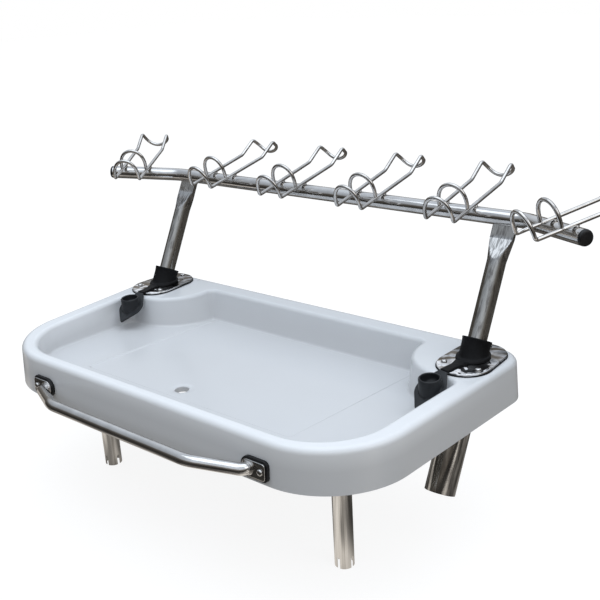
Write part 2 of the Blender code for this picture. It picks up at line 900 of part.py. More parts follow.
def arm_line(y):
    """Height of a rest's arm above the rail's axis; the arm lies on top of the rail."""
    rise = math.radians(arm_rise)
    return (rail_radius + wire_radius + gap) / math.cos(rise) + y * math.tan(rise)


def arm_width(y):
    """Half the distance between the arms, which come a little closer towards the front."""
    share = (y + arm_front) / (arm_back + arm_front)
    return rest_front_half_width + (rest_back_half_width - rest_front_half_width) * share


def hoop_points(half_width, foot_y, foot_z, height, forward, steps=8):
    """An arch from the left foot over to the right one, leaning forward from them."""
    lean_by = math.radians(forward)
    points = []
    for k in range(steps + 1):
        a = math.pi * k / steps
        across = -half_width * math.cos(a)
        up = height * math.sin(a) ** 0.8
        points.append((across, foot_y - up * math.sin(lean_by), foot_z + up * math.cos(lean_by)))
    return points


def saddle_points(y, z, steps=8):
    """The dip between the two peaks, bowed out behind them, from right to left."""
    points = []
    for k in range(1, steps):
        a = math.pi * k / steps
        bow = min(1.0, 1.5 * math.sin(a))
        x = rest_back_half_width * math.cos(a)
        points.append((x, y + saddle_back * bow, z - saddle_drop * math.sin(a)))
    return points


def build_rest(number, place):
    """One closed loop of wire: two arms, an arched front and a dipped saddle at the back."""
    foot_y, foot_z = -arm_front, arm_line(-arm_front)
    kink_y, kink_z = arm_back, arm_line(arm_back)
    kick = math.radians(kick_rise)
    peak_y, peak_z = kink_y + kick_length * math.cos(kick), kink_z + kick_length * math.sin(kick)
    front, back = rest_front_half_width, rest_back_half_width
    arm = [(front, foot_y, foot_z), (back, kink_y, kink_z), (back, peak_y, peak_z)]
    bends = [0.005, 0.018, peak_bend]
    corners = list(arm)
    radii = list(bends)
    saddle = saddle_points(peak_y, peak_z)
    corners += saddle + [(-x, y, z) for x, y, z in reversed(arm)]
    radii += [0] * len(saddle) + bends[::-1]
    arch = hoop_points(front, foot_y, foot_z, front_hoop_height, front_hoop_lean)[1:-1]
    corners += arch
    radii += [0] * len(arch)
    loop = rounded_path(corners, radii, 2, True)
    wire(f"rod_rest_{number}", loop, wire_radius, place, polished_steel, True)

    rise = math.radians(arm_rise)
    lift = (wire_radius + gap) / math.cos(rise)
    base_y = -second_hoop_setback
    base_z = arm_line(base_y) + lift
    stub = wire_radius
    w = arm_width(base_y)
    arch = hoop_points(
        w,
        base_y - stub * math.sin(rise),
        base_z + stub * math.cos(rise),
        second_hoop_height,
        second_hoop_lean,
    )
    hoop = [(-w, base_y, base_z)] + arch + [(w, base_y, base_z)]
    wire(f"rest_hoop_{number}", hoop, wire_radius, place, polished_steel)


def build_rests():
    end = rail_end_point()
    corner = Vector((rail_corner_x, rail_y, rail_height))
    for number in range(1, 7):
        middle_x = (number - 3.5) * rest_pitch + rest_shift
        sign = math.copysign(1.0, middle_x)
        if number in (1, 6):
            share = (rest_on_end + sign * rest_shift / 2) / rail_end_length
            spot = corner.lerp(end, share)
            tilt = math.asin(rail_end_rise / (end - corner).length)
            turn = (0, -sign * tilt, -sign * math.radians(rail_end_angle))
            place = make_empty(
                f"rest_place_{number}", tray_frame, (sign * spot.x, spot.y, spot.z), turn
            )
        else:
            place = make_empty(f"rest_place_{number}", tray_frame, (middle_x, rail_y, rail_height))
        build_rest(number, place)


def build_handle():
    """Bent grab rail: tube and end plates in one, on rubber pads with a screw and nut at each end."""
    pad_face = -gap - handle_pad_thickness
    plate_back = pad_face - gap
    plate_front = plate_back - plate_thickness
    start_y = (plate_back + plate_front) / 2
    half = [
        (handle_foot_x, start_y, 0),
        (handle_foot_x, plate_front - 0.008, 0),
        (handle_corner_x, -handle_standoff, handle_lift),
    ]
    path = rounded_path(
        [(-x, y, z) for x, y, z in half] + half[::-1],
        [0, 0.012, handle_bend, handle_bend, 0.012, 0],
        4,
    )
    handle = wire("grab_handle", path, handle_radius, handle_frame, polished_steel, False, rail_bevel_steps)
    handle = solid_from_curve(handle)
    for side, sign in sides:
        outline = plate_outline(sign)
        plate = plate_solid(side + "_plate", outline, plate_front, plate_back, sign)
        boolean(handle, make_cutter(side + "_handle_plate", plate, handle_frame), "UNION")
        hole = bar_mesh("hole", screw_radius + hole_gap, -0.03, 0.03, small_steps, "Y")
        moved_mesh(hole, Matrix.Translation((sign * handle_screw_x, 0, 0)))
        cutter = make_cutter(side + "_plate_hole", hole, handle_frame)
        boolean(handle, cutter)
        outline = plate_outline(sign, handle_pad_margin)
        data = plate_solid(side + "_handle_pad", outline, pad_face, -gap, sign)
        pad = finish_object(side + "_handle_pad", data, handle_frame, black_plastic)
        boolean(pad, cutter)
        shank = -plate_front + wall + nut_height + 0.0015
        screw = turned(
            side + "_handle_screw", screw_profile(shank), handle_frame, polished_steel, small_steps
        )
        screw.location = (sign * handle_screw_x, plate_front - gap, 0)
        screw.rotation_euler = (math.radians(90), 0, 0)
        hex_nut(
            side + "_handle_nut",
            handle_frame,
            polished_steel,
            (sign * handle_screw_x, wall + gap + nut_height, 0),
            (math.radians(90), 0, 0),
        )


def plate_outline(sign, grow=0.0):
    """End plate: nearly square at its outer end, round at the end the tube leaves from."""
    w, h = plate_half_width, plate_half_height
    inner, outer = plate_inner_corner, plate_outer_corner
    right, left = (outer, inner) if sign > 0 else (inner, outer)
    return rounded_outline([(w, h), (-w, h), (-w, -h), (w, -h)], [right, left, left, right], [4] * 4, grow)


def plate_solid(name, outline, low, high, sign):
    """A plate standing on the front face: the outline's own Y runs up the face."""
    rings = [[(sign * plate_centre_x + p.x, y, p.y) for p in outline] for y in (low, high)]
    return loft_mesh(name, rings)


def build_leg(side, sign):
    """Tube leg with crossed slots in its lower end, on a round plate screwed up into the tray."""
    top = boss_face_z - gap
    plate_low = top - leg_plate_thickness
    place = make_empty(side + "_leg_place", tray_frame, (sign * leg_x, leg_y(), 0))
    plate = bar_mesh(side + "_leg", leg_plate_radius, plate_low, top)
    leg = finish_object(side + "_leg", plate, place, satin_steel)
    tube = bar_mesh("leg_tube", leg_radius, -rim_height, (plate_low + top) / 2)
    boolean(leg, make_cutter(side + "_leg_tube", tube, place), "UNION")
    bore = bar_mesh("leg_bore", leg_radius - leg_wall, -rim_height - 0.01, plate_low)
    boolean(leg, make_cutter(side + "_leg_bore", bore, place))
    half = leg_slot_width / 2
    low, high = -rim_height - 0.01, leg_slot_depth - rim_height
    for number, turn in enumerate((0, 90), 1):
        slot = box_mesh("slot", (-0.03, -half, low), (0.03, half, high))
        moved_mesh(slot, Matrix.Rotation(math.radians(turn), 4, "Z"))
        boolean(leg, make_cutter(f"{side}_leg_slot_{number}", slot, place))
    holes = []
    for x, y in leg_screw_places():
        hole = bar_mesh("hole", screw_radius + hole_gap, plate_low - 0.01, top + 0.01, small_steps)
        holes.append(moved_mesh(hole, Matrix.Translation((x, y, 0))))
    boolean(leg, make_cutter(side + "_leg_holes", join_meshes("holes", holes), place))
    shank = leg_plate_thickness + 2 * gap + leg_screw_bite()
    for number, (x, y) in enumerate(leg_screw_places(), 1):
        name = f"{side}_leg_screw_{number}"
        screw = turned(name, screw_profile(shank), place, polished_steel, small_steps)
        screw.location = (x, y, plate_low - gap)
        screw.rotation_euler = (math.pi, 0, 0)


clear_scene()
parts = make_collection("bait_board")
cutters = make_collection("cutters")
white_plastic = make_material("white_plastic", (0.80, 0.83, 0.88), 0.22, 0.0)
polished_steel = make_material("polished_steel", (0.66, 0.65, 0.63), 0.16, 1.0)
satin_steel = make_material("satin_steel", (0.52, 0.51, 0.49), 0.30, 1.0)
black_rubber = make_material("black_rubber", (0.02, 0.02, 0.022), 0.60, 0.0)
black_plastic = make_material("black_plastic", (0.015, 0.015, 0.017), 0.40, 0.0)

tray_frame = make_empty("tray_frame", None, (0, leg_setback, rim_height))
flat_frames = {}
holder_frames = {}
tether_frames = {}
cap_frames = {}
for side, sign in sides:
    flat_frames[side] = make_empty(side + "_flat", tray_frame, (sign * holder_x, holder_y, 0))
    holder_frames[side] = make_empty(side + "_axis", flat_frames[side], (0, 0, 0), (-lean, 0, 0))
    turn = (0, 0, math.radians(-tether_turn * sign))
    tether_frames[side] = make_empty(side + "_tether", flat_frames[side], (0, 0, 0), turn)
    cap_frames[side] = make_empty(
        side + "_cap_hinge",
        tether_frames[side],
        (0, -tether_reach, hinge_height),
        (resting_droop(), 0, 0),
    )
face_y = -tray_depth + math.tan(flare) * (handle_z + rim_round)
handle_frame = make_empty("handle_frame", tray_frame, (0, face_y, handle_z), (-flare, 0, 0))
bpy.context.view_layer.update()

build_tray()
for side, sign in sides:
    build_holder(side, sign)
    build_sleeve(side, sign)
    build_cap(side, sign)
    build_post(side, sign)
    build_leg(side, sign)
build_rail()
build_rests()
build_handle()
bpy.context.view_layer.update()
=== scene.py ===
import json
import random
from math import asin, atan2, copysign, cos, pi, radians, sin, tan, tau

import bmesh
import bpy
from mathutils import Matrix, Vector


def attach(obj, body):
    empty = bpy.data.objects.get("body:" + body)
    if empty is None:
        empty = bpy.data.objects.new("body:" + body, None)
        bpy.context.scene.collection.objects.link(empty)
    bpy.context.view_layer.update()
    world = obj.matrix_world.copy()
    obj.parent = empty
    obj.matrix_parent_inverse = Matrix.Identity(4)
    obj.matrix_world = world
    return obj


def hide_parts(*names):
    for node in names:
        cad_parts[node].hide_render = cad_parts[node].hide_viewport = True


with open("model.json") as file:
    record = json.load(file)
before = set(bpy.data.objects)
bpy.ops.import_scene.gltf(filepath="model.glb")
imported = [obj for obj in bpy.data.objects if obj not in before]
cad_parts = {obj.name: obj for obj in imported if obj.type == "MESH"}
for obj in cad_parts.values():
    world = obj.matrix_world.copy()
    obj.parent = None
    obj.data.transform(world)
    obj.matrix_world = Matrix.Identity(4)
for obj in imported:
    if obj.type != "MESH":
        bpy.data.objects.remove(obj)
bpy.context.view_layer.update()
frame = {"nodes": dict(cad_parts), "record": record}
nodes = frame["nodes"]
print("frame loaded:", len(nodes), "nodes")

scene = bpy.context.scene
scene.view_settings.view_transform = "Standard"

# camera and stage values
cameraSet = {
    "place": (1.0376, -0.9558, 0.8893),
    "right": (0.7721, 0.6333, -0.0530),
    "up": (-0.1769, 0.2942, 0.9392),
    "ahead": (-0.6105, 0.7158, -0.3391),
    "lens": 54.256,
    "sensor": 36.0,
    "farthest": 60.0,
}

lampSet = {
    # name: place, aims at, width, height, watts, colour
    "overhead": ((0.2, -0.1, 3.4), (0.0, 0.05, 0.2), 3.6, 3.0, 39.0, (0.865, 0.935, 1.0)),
    "rightSide": ((2.9, 0.4, 2.2), (0.0, 0.0, 0.2), 1.8, 1.4, 10.0, (1.0, 0.97, 0.93)),
}

floorSet = {
    "size": 14.0,
    "paper": (0.86, 0.86, 0.86),
    "bounce": (0.36, 0.328, 0.285),  # what the paper throws back up at the object
    "glowShare": 0.78,
    "whiteness": 1.12,
    # tone of the mirrored ground from the front (-0.8) to the back (0.8)
    "groundTones": (
        (-0.48, 0.05), (-0.28, 0.34), (-0.16, 0.72), (-0.03, 0.62),
        (0.06, 0.16), (0.16, 0.09), (0.32, 0.26), (0.60, 0.13),
    ),
    "groundReach": 0.8,
    "groundTint": (1.0, 0.94, 0.87),
    "groundScale": 5.5,
    "groundPatches": (0.45, 1.55),
    "patchEdges": (0.38, 0.62),
}

roomSet = {
    "wallToCeiling": (
        (0.05, (0.170, 0.153, 0.134)), (0.27, (0.30, 0.290, 0.272)),
        (0.43, (0.845, 0.897, 0.970)), (0.62, (0.82, 0.897, 1.0)),
    ),
    # the room is dimmer towards these sides: direction, where it starts, where it is dimmest, how dim
    "darkSides": (((0.77, 0.63, 0.0), 0.5, 1.0, 0.45), ((-0.82, -0.57, 0.0), 0.4, 0.95, 0.48)),
}


def setDown(bm, matrix):
    bmesh.ops.transform(bm, matrix=matrix, verts=bm.verts)


def meshOf(bm, name):
    data = bpy.data.meshes.new(name)
    bm.to_mesh(data)
    bm.free()
    return data


def placed(data, name):
    item = bpy.data.objects.new(name, data)
    scene.collection.objects.link(item)
    return item


def helper(bm, name, place=None):
    # the start of a piece, or an object that only lends its shape to a cut or a union
    if place is not None:
        setDown(bm, place)
    return placed(meshOf(bm, name), name)


def addNode(tree, kind, inputs=None, **settings):
    # inputs go by name or number, and take a value or the socket that feeds them
    node = tree.nodes.new("ShaderNode" + kind)
    for key, value in settings.items():
        setattr(node, key, value)
    for key, value in (inputs or {}).items():
        if isinstance(value, bpy.types.NodeSocket):
            tree.links.new(value, node.inputs[key])
        else:
            node.inputs[key].default_value = value
    return node


def multiplied(first, second):
    # a socket knows the tree that it belongs to
    return addNode(first.id_data, "Math", {0: first, 1: second}, operation="MULTIPLY").outputs[0]


def mixedColours(share, low, high):
    # of the node's many sockets, 6 and 7 take the colours, and 2 gives the mixed one
    return addNode(share.id_data, "Mix", {0: share, 6: low, 7: high}, data_type="RGBA").outputs[2]


def mixedShaders(share, low, high):
    return addNode(share.id_data, "MixShader", {0: share, 1: low, 2: high}).outputs[0]


def noiseNode(coords, scale, detail=4.0, rough=0.5, twist=0.0):
    inputs = {"Vector": coords, "Scale": scale, "Detail": detail, "Roughness": rough, "Distortion": twist}
    return addNode(coords.id_data, "TexNoise", inputs).outputs["Fac"]


def rampNode(value, stops):
    ramp = addNode(value.id_data, "ValToRGB", {"Fac": value})
    elements = ramp.color_ramp.elements
    while len(elements) < len(stops):
        elements.new(0.5)
    for element, (place, colour) in zip(elements, stops):
        element.position = place
        element.color = (*colour, 1.0)
    return ramp.outputs["Color"]


def rangeNode(value, low, high, fromLow=0.0, fromHigh=1.0):
    inputs = {"Value": value, "From Min": fromLow, "From Max": fromHigh, "To Min": low, "To Max": high}
    return addNode(value.id_data, "MapRange", inputs).outputs["Result"]


def axisShare(coords, axis, low, high):
    # 0 on the low side, 1 on the high side; high may be the smaller number
    axes = addNode(coords.id_data, "SeparateXYZ", {0: coords}).outputs
    return rangeNode(axes[axis], 0.0, 1.0, low, high)


def stretched(coords, size, turn=(0, 0, 0)):
    inputs = {"Vector": coords, "Scale": size, "Rotation": turn}
    return addNode(coords.id_data, "Mapping", inputs).outputs["Vector"]


def clearedTree(owner):
    owner.use_nodes = True
    owner.node_tree.nodes.clear()
    return owner.node_tree


def placeCamera():
    c = cameraSet
    data = bpy.data.cameras.new("photoCamera")
    data.sensor_fit = "HORIZONTAL"
    data.sensor_width = c["sensor"]
    data.lens = c["lens"]
    data.clip_end = c["farthest"]
    camera = placed(data, "photoCamera")
    right, up, ahead = (Vector(c[key]).normalized() for key in ("right", "up", "ahead"))
    turn = Matrix((right, up, -ahead)).transposed()
    camera.matrix_world = Matrix.Translation(c["place"]) @ turn.to_4x4()
    scene.camera = camera


def placeLamps():
    for name, (place, aim, width, height, watts, colour) in lampSet.items():
        data = bpy.data.lights.new(name, "AREA")
        data.shape = "RECTANGLE"
        data.size = width
        data.size_y = height
        data.energy = watts
        data.color = colour
        lamp = placed(data, name)
        lamp.location = place
        lamp.rotation_euler = (Vector(aim) - Vector(place)).to_track_quat("-Z", "Y").to_euler()


def placeFloor():
    # pale paper with a soft shadow to the eye; the steel mirrors it as patchy dark ground
    f = floorSet
    bm = bmesh.new()
    bmesh.ops.create_grid(bm, x_segments=8, y_segments=8, size=f["size"])
    floor = helper(bm, "studioFloor")
    material = bpy.data.materials.new("floorPaper")
    tree = clearedTree(material)
    rays = addNode(tree, "LightPath").outputs
    where = addNode(tree, "TexCoord").outputs["Object"]
    colour = mixedColours(rays["Is Camera Ray"], (*f["bounce"], 1.0), (*f["paper"], 1.0))
    paper = addNode(tree, "BsdfDiffuse", {"Color": colour}).outputs[0]
    glow = addNode(tree, "Emission", {"Strength": f["whiteness"]}).outputs[0]
    seen = mixedShaders(multiplied(rays["Is Camera Ray"], f["glowShare"]), paper, glow)
    patches = noiseNode(where, f["groundScale"], 1.0)
    uneven = rangeNode(patches, *f["groundPatches"], *f["patchEdges"])
    reach = f["groundReach"]
    bands = [((y + reach) / (2 * reach), [tone * c for c in f["groundTint"]]) for y, tone in f["groundTones"]]
    tones = rampNode(axisShare(where, "Y", -reach, reach), bands)
    ground = addNode(tree, "Emission", {"Color": tones, "Strength": uneven}).outputs[0]
    addNode(tree, "OutputMaterial", {"Surface": mixedShaders(rays["Is Glossy Ray"], seen, ground)})
    floor.data.materials.append(material)


def lightWorld():
    scene.world = bpy.data.worlds.new("studioRoom")
    tree = clearedTree(scene.world)
    where = addNode(tree, "TexCoord").outputs["Generated"]
    height = addNode(tree, "SeparateXYZ", {0: where}).outputs["Z"]
    colour = rampNode(height, roomSet["wallToCeiling"])  # dark low walls, brighter ceiling
    strength = 1.0
    for direction, start, end, dimness in roomSet["darkSides"]:
        side = addNode(tree, "VectorMath", {0: where, 1: direction}, operation="DOT_PRODUCT").outputs["Value"]
        strength = multiplied(rangeNode(side, 1.0, dimness, start, end), strength)
    room = addNode(tree, "Background", {"Color": colour, "Strength": strength}).outputs[0]
    white = addNode(tree, "Background", {"Color": (1.0, 1.0, 1.0, 1.0)}).outputs[0]
    rays = addNode(tree, "LightPath").outputs
    addNode(tree, "OutputWorld", {"Surface": mixedShaders(rays["Is Camera Ray"], room, white)})


placeCamera()
placeLamps()
placeFloor()
lightWorld()
print("stage set")


# finishes: each recipe gives colour, roughness, height patterns with their strengths, bump distance
whiteSet = {
    # painted shade: the well and the skirt are painted a little darker than the rim, and the rim is painted
    # lighter in front than at the back, for how the light falls on them
    "paintedShade": ((0.30, (0.668, 0.674, 0.684)), (0.70, (0.698, 0.705, 0.715))),
    "frontRim": ((0.30, (0.840, 0.850, 0.862)), (0.70, (0.872, 0.882, 0.894))),
    "backRim": ((0.30, (0.690, 0.702, 0.716)), (0.70, (0.730, 0.742, 0.756))),
    "frontToBack": (0.04, 0.23),
    "wellToRim": (0.246, 0.275),
    "rough": (0.17, 0.30),
    "coat": {"Coat Weight": 0.12, "Coat Roughness": 0.12},
}

plateSet = {
    # painted reflection: the plate's colours, bright at its front and dark at its back
    "front": ((0.36, (0.52, 0.51, 0.51)), (0.56, (0.93, 0.92, 0.92))),
    "back": ((0.36, (0.10, 0.10, 0.10)), (0.62, (0.40, 0.39, 0.39))),
    "tube": ((0.38, (0.34, 0.33, 0.32)), (0.60, (0.62, 0.61, 0.59))),
    "frontToBack": (0.212, 0.262),
    "tubeToPlate": (0.276, 0.2825),
    "rough": (0.04, 0.10),
}


def mouldedWhite(coords):
    w = whiteSet
    cloud = noiseNode(coords, 2.2, 3.0)
    # painted shade in the well and on the skirt; painted light on the rim, lightest at its front
    paintedShade, front, back = (rampNode(cloud, w[key]) for key in ("paintedShade", "frontRim", "backRim"))
    litRim = mixedColours(axisShare(coords, "Y", *w["frontToBack"]), front, back)
    colour = mixedColours(axisShare(coords, "Z", *w["wellToRim"]), paintedShade, litRim)
    haze = noiseNode(coords, 9.0, 5.0, 0.6)
    peel = noiseNode(coords, 210.0, 2.0, 0.4)
    wave = noiseNode(coords, 11.0, 1.0, 0.3)
    return colour, rangeNode(haze, *w["rough"]), [(wave, 0.35), (peel, 0.05)], 0.0008


def tubeSteel(coords, light, dark, rough, grain, along):
    # the polishing marks run along one axis: they are stretched there
    cloud = noiseNode(coords, 26.0, 4.0, 0.6)
    colour = rampNode(cloud, [(0.32, dark), (0.68, light)])
    hairs = noiseNode(stretched(coords, along), 1.0, 2.0)
    spread = noiseNode(coords, 60.0, 3.0, 0.6)
    dents = noiseNode(coords, 16.0, 1.0)
    return colour, rangeNode(spread, *rough), [(hairs, grain), (dents, 0.12)], 0.0002


def streakSteel(coords, light, dark, rough, pressed=None):
    # upright tube: drawing marks run down it; just below the flat top, where the tube is pressed flat, a
    # painted highlight makes the metal brighter
    streaks = noiseNode(stretched(coords, (210, 60, 1.5)), 1.0, 3.0, 0.6)
    tone = rampNode(streaks, [(0.36, dark), (0.50, light), (0.64, tuple(0.86 * c for c in light))])
    # painted highlight over the pressed part, in streaks, between two heights
    if pressed:
        start, end, bright = pressed
        highlightStreaks = noiseNode(stretched(coords, (260, 60, 50), (0, 0.75, 0)), 1.0, 2.0, 0.5, 0.6)
        highlightTone = rampNode(highlightStreaks, [(0.38, tuple(0.42 * c for c in bright)), (0.56, bright)])
        share = multiplied(axisShare(coords, "Z", *start), axisShare(coords, "Z", *end))
        tone = mixedColours(share, tone, highlightTone)
    spread = noiseNode(coords, 60.0, 3.0, 0.6)
    fine = noiseNode(stretched(coords, (900, 300, 12)), 1.0, 2.0)
    dents = noiseNode(coords, 15.0, 1.0)
    return tone, rangeNode(spread, *rough), [(fine, 0.30), (dents, 0.15)], 0.0002


def wavySteel(coords):
    # thin polished plate: it is slightly uneven and breaks up what it mirrors; a painted reflection makes it
    # bright at the front and dark at the back; the tube below is plain
    p = plateSet
    cloud = noiseNode(coords, 42.0, 2.0)
    # painted reflection: bright towards the front, dark towards the back
    share = axisShare(coords, "Y", *p["frontToBack"])
    plateTone = mixedColours(share, rampNode(cloud, p["front"]), rampNode(cloud, p["back"]))
    streaks = noiseNode(stretched(coords, (170, 50, 1.5)), 1.0, 3.0, 0.6)
    onPlate = axisShare(coords, "Z", *p["tubeToPlate"])
    waves = multiplied(noiseNode(coords, 44.0, 0.0, 0.4, 0.9), onPlate)
    scratches = noiseNode(stretched(coords, (700, 40, 700), (0, 0, 0.4)), 1.0, 2.0)
    colour = mixedColours(onPlate, rampNode(streaks, p["tube"]), plateTone)
    return colour, rangeNode(cloud, *p["rough"]), [(waves, 1.0), (scratches, 0.02)], 0.0030


def mattBlack(coords, low, high, rough, grain, scale):
    cloud = noiseNode(coords, 48.0, 5.0, 0.65)
    colour = rampNode(cloud, [(0.30, low), (0.72, high)])
    fine = noiseNode(coords, scale, 3.0, 0.6)
    return colour, rangeNode(cloud, *rough), [(fine, grain)], 0.0003


def makeFinish(name, recipe, plain, *settings):
    # plain holds the values that are the same all over the surface
    material = bpy.data.materials.new(name)
    material.use_nodes = True
    tree = material.node_tree
    shader = tree.nodes["Principled BSDF"]
    for socket, value in plain.items():
        shader.inputs[socket].default_value = value
    coords = addNode(tree, "TexCoord").outputs["Object"]
    colour, roughness, heights, distance = recipe(coords, *settings)
    normal = None
    for height, strength in heights:  # one bump over the other
        bump = addNode(tree, "Bump", {"Strength": strength, "Distance": distance, "Height": height})
        if normal is not None:
            tree.links.new(normal, bump.inputs["Normal"])
        normal = bump.outputs["Normal"]
    for socket, value in (("Base Color", colour), ("Roughness", roughness), ("Normal", normal)):
        tree.links.new(value, shader.inputs[socket])
    return material


metal = {"Metallic": 1.0}
finishes = {
    "white_plastic": makeFinish("mouldedWhite", mouldedWhite, whiteSet["coat"]),
    "plateSteel": makeFinish("plateSteel", wavySteel, metal),
    "polished_steel": makeFinish(
        "pressedSteel", tubeSteel, metal,
        (0.66, 0.65, 0.64), (0.54, 0.53, 0.52), (0.10, 0.22), 0.10, (300, 300, 300),
    ),
    "railSteel": makeFinish(
        "railSteel", tubeSteel, metal,
        (0.66, 0.65, 0.64), (0.50, 0.49, 0.48), (0.06, 0.14), 0.25, (30, 900, 900),
    ),
    "wireSteel": makeFinish(
        "wireSteel", tubeSteel, metal,
        (0.68, 0.66, 0.64), (0.46, 0.44, 0.42), (0.07, 0.16), 0.12, (240, 240, 240),
    ),
    "satin_steel": makeFinish(
        "satinSteel", streakSteel, metal, (0.66, 0.65, 0.63), (0.42, 0.41, 0.39), (0.12, 0.22),
    ),
    "postSteel": makeFinish(
        "postSteel", streakSteel, metal, (0.41, 0.40, 0.38), (0.20, 0.19, 0.18), (0.10, 0.20),
        # painted highlight: the heights where it begins and ends, and its colour
        ((0.425, 0.440), (0.471, 0.467), (0.46, 0.455, 0.45)),
    ),
    "black_rubber": makeFinish(
        "mattRubber", mattBlack, {"Specular IOR Level": 0.14},
        (0.003, 0.003, 0.0035), (0.008, 0.008, 0.009), (0.42, 0.62), 0.35, 900.0,
    ),
    "black_plastic": makeFinish(
        "mattPlastic", mattBlack, {"Specular IOR Level": 0.35},
        (0.006, 0.006, 0.007), (0.014, 0.014, 0.015), (0.32, 0.46), 0.18, 520.0,
    ),
    "capRubber": makeFinish(
        "capRubber", mattBlack, {"Specular IOR Level": 0.34},
        (0.008, 0.009, 0.011), (0.018, 0.020, 0.023), (0.34, 0.48), 0.18, 520.0,
    ),
}
slotOf = {part["node"]: part["material_slot"] for part in frame["record"]["subparts"]}
for name, node in nodes.items():
    node.data.materials.clear()
    node.data.materials.append(finishes[slotOf[name]])
print("finishes made")


# shared steps for making pieces
quarter = radians(90)
places = {
    "rimHeight": 0.281,
    "legSetback": 0.3255,
    "legX": 0.285,
    "lean": radians(27.45),  # rod holders and posts
    "holderX": 0.371,
    "holderY": -0.0762,
    "gap": 0.0003,
    "gasketTop": 0.0019,
    "flangeTop": 0.0048,
    "flangeScrews": ((-0.031, -0.036), (0.031, -0.036), (0.0, 0.0575)),
    "screwHole": 0.0028,
    "through": 0.05,  # half the length of a cutter that goes right through
}

beadSet = {"ripple": 0.10, "waves": 9.0, "chance": 0.03, "smoothing": 0.4}


def moved(x, y, z=0.0):
    return Matrix.Translation((x, y, z))


def turned(angle, axis):
    return Matrix.Rotation(angle, 4, axis)


lean = places["lean"]
gap = places["gap"]
through = places["through"]
trayPlace = moved(0, places["legSetback"], places["rimHeight"])
sides = (("left", -1.0), ("right", 1.0))
flatPlace = {side: trayPlace @ moved(sign * places["holderX"], places["holderY"]) for side, sign in sides}
leanPlace = {side: flatPlace[side] @ turned(-lean, "X") for side, sign in sides}


def settle(piece):
    # what the modifiers make becomes the piece's own mesh
    bpy.context.view_layer.update()
    evaluated = piece.evaluated_get(bpy.context.evaluated_depsgraph_get())
    data = bpy.data.meshes.new_from_object(evaluated)
    piece.modifiers.clear()
    piece.data = data


def combine(piece, others, operation):
    # exact boolean with each helper in turn; the helpers go afterwards
    for other in others:
        modifier = piece.modifiers.new(operation.lower(), "BOOLEAN")
        modifier.operation = operation
        modifier.solver = "EXACT"
        modifier.object = other
    settle(piece)
    for other in others:
        bpy.data.objects.remove(other)


def finishPiece(piece, body, node, finish=None, sharp=38):
    # dresses the piece in its slot's finish, or in a named one, and sets it in the CAD node's stead
    slotName = slotOf[node]
    data = piece.data
    data.materials.clear()
    data.materials.append(finishes[finish or slotName])
    data.shade_smooth()
    data.set_sharp_from_angle(angle=radians(sharp))
    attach(piece, body)
    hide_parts(node)


def pieceName(node):
    first, *others = node.split("_")
    return first + "".join(word.title() for word in others)


def makePiece(bm, body, node, place=None, adds=(), cuts=(), last=None, finish=None, sharp=38):
    # placed, joined, cut, and set in its last place; it has the CAD node's name, without underscores
    piece = helper(bm, pieceName(node), place)
    if adds:
        combine(piece, adds, "UNION")
    if cuts:
        combine(piece, cuts, "DIFFERENCE")
    if last:
        piece.data.transform(last)
    finishPiece(piece, body, node, finish, sharp)


def upward(bm, face):
    face.normal_update()
    if face.normal.z < 0:
        bmesh.ops.reverse_faces(bm, faces=[face])
    return face


def roundedFace(bm, corners):
    # one flat face from corners of (x, y, radius, steps); each corner gets a vertex bevel of its own
    before = set(bm.faces)
    verts = [bm.verts.new((x, y, 0.0)) for x, y, radius, steps in corners]
    bm.faces.new(verts)
    spots = [Vector((x, y)) for x, y, radius, steps in corners]
    for i, (x, y, radius, steps) in enumerate(corners):
        opening = (spots[i - 1] - spots[i]).angle(spots[(i + 1) % len(spots)] - spots[i])
        bmesh.ops.bevel(
            bm, geom=[verts[i]], offset=radius / tan(opening / 2), offset_type="OFFSET", segments=steps,
            profile=0.5, affect="VERTICES", material=-1, clamp_overlap=False,
        )
    return upward(bm, (set(bm.faces) - before).pop())


def roundEdges(bm, edges, radius, steps):
    bmesh.ops.bevel(
        bm, geom=edges, offset=radius, offset_type="OFFSET", segments=steps, profile=0.5,
        affect="EDGES", material=-1, clamp_overlap=True,
    )


def stepIn(bm, face, inset, drop):
    bmesh.ops.inset_individual(bm, faces=[face], thickness=inset, depth=-drop, use_even_offset=True)


def roundOver(bm, face, radius, steps):
    # from a flat face over a rounded edge to an upright wall
    for k in range(steps):
        a, b = quarter * k / steps, quarter * (k + 1) / steps
        stepIn(bm, face, radius * (sin(b) - sin(a)), radius * (cos(a) - cos(b)))


def roundInto(bm, face, radius, steps, drop=1.0):
    # from an upright wall over a rounded edge to a flat face; a drop of -1 goes up
    for k in range(steps):
        a, b = quarter * k / steps, quarter * (k + 1) / steps
        stepIn(bm, face, radius * (cos(a) - cos(b)), drop * radius * (sin(b) - sin(a)))


def openEdges(bm, known=()):
    # the open edges, without the known ones
    return [edge for edge in bm.edges if edge.is_boundary and edge not in known]


def closeOpen(bm):
    rim = openEdges(bm)
    if rim:
        bmesh.ops.edgeloop_fill(bm, edges=rim)
    bmesh.ops.recalc_face_normals(bm, faces=bm.faces)


def plate(corners, low, high, edge=0.0, steps=3, bothSides=False):
    # a flat plate with its upper edge, or both edges, rounded
    bm = bmesh.new()
    face = roundedFace(bm, corners)
    setDown(bm, moved(0, 0, low))
    stepIn(bm, face, 0.0, low - high + edge)
    if edge:
        roundInto(bm, face, edge, steps, -1.0)
    closeOpen(bm)
    if bothSides:
        level = [e for e in bm.edges if all(abs(v.co.z - low) < 1e-7 for v in e.verts)]
        roundEdges(bm, level, edge, steps)
    return bm


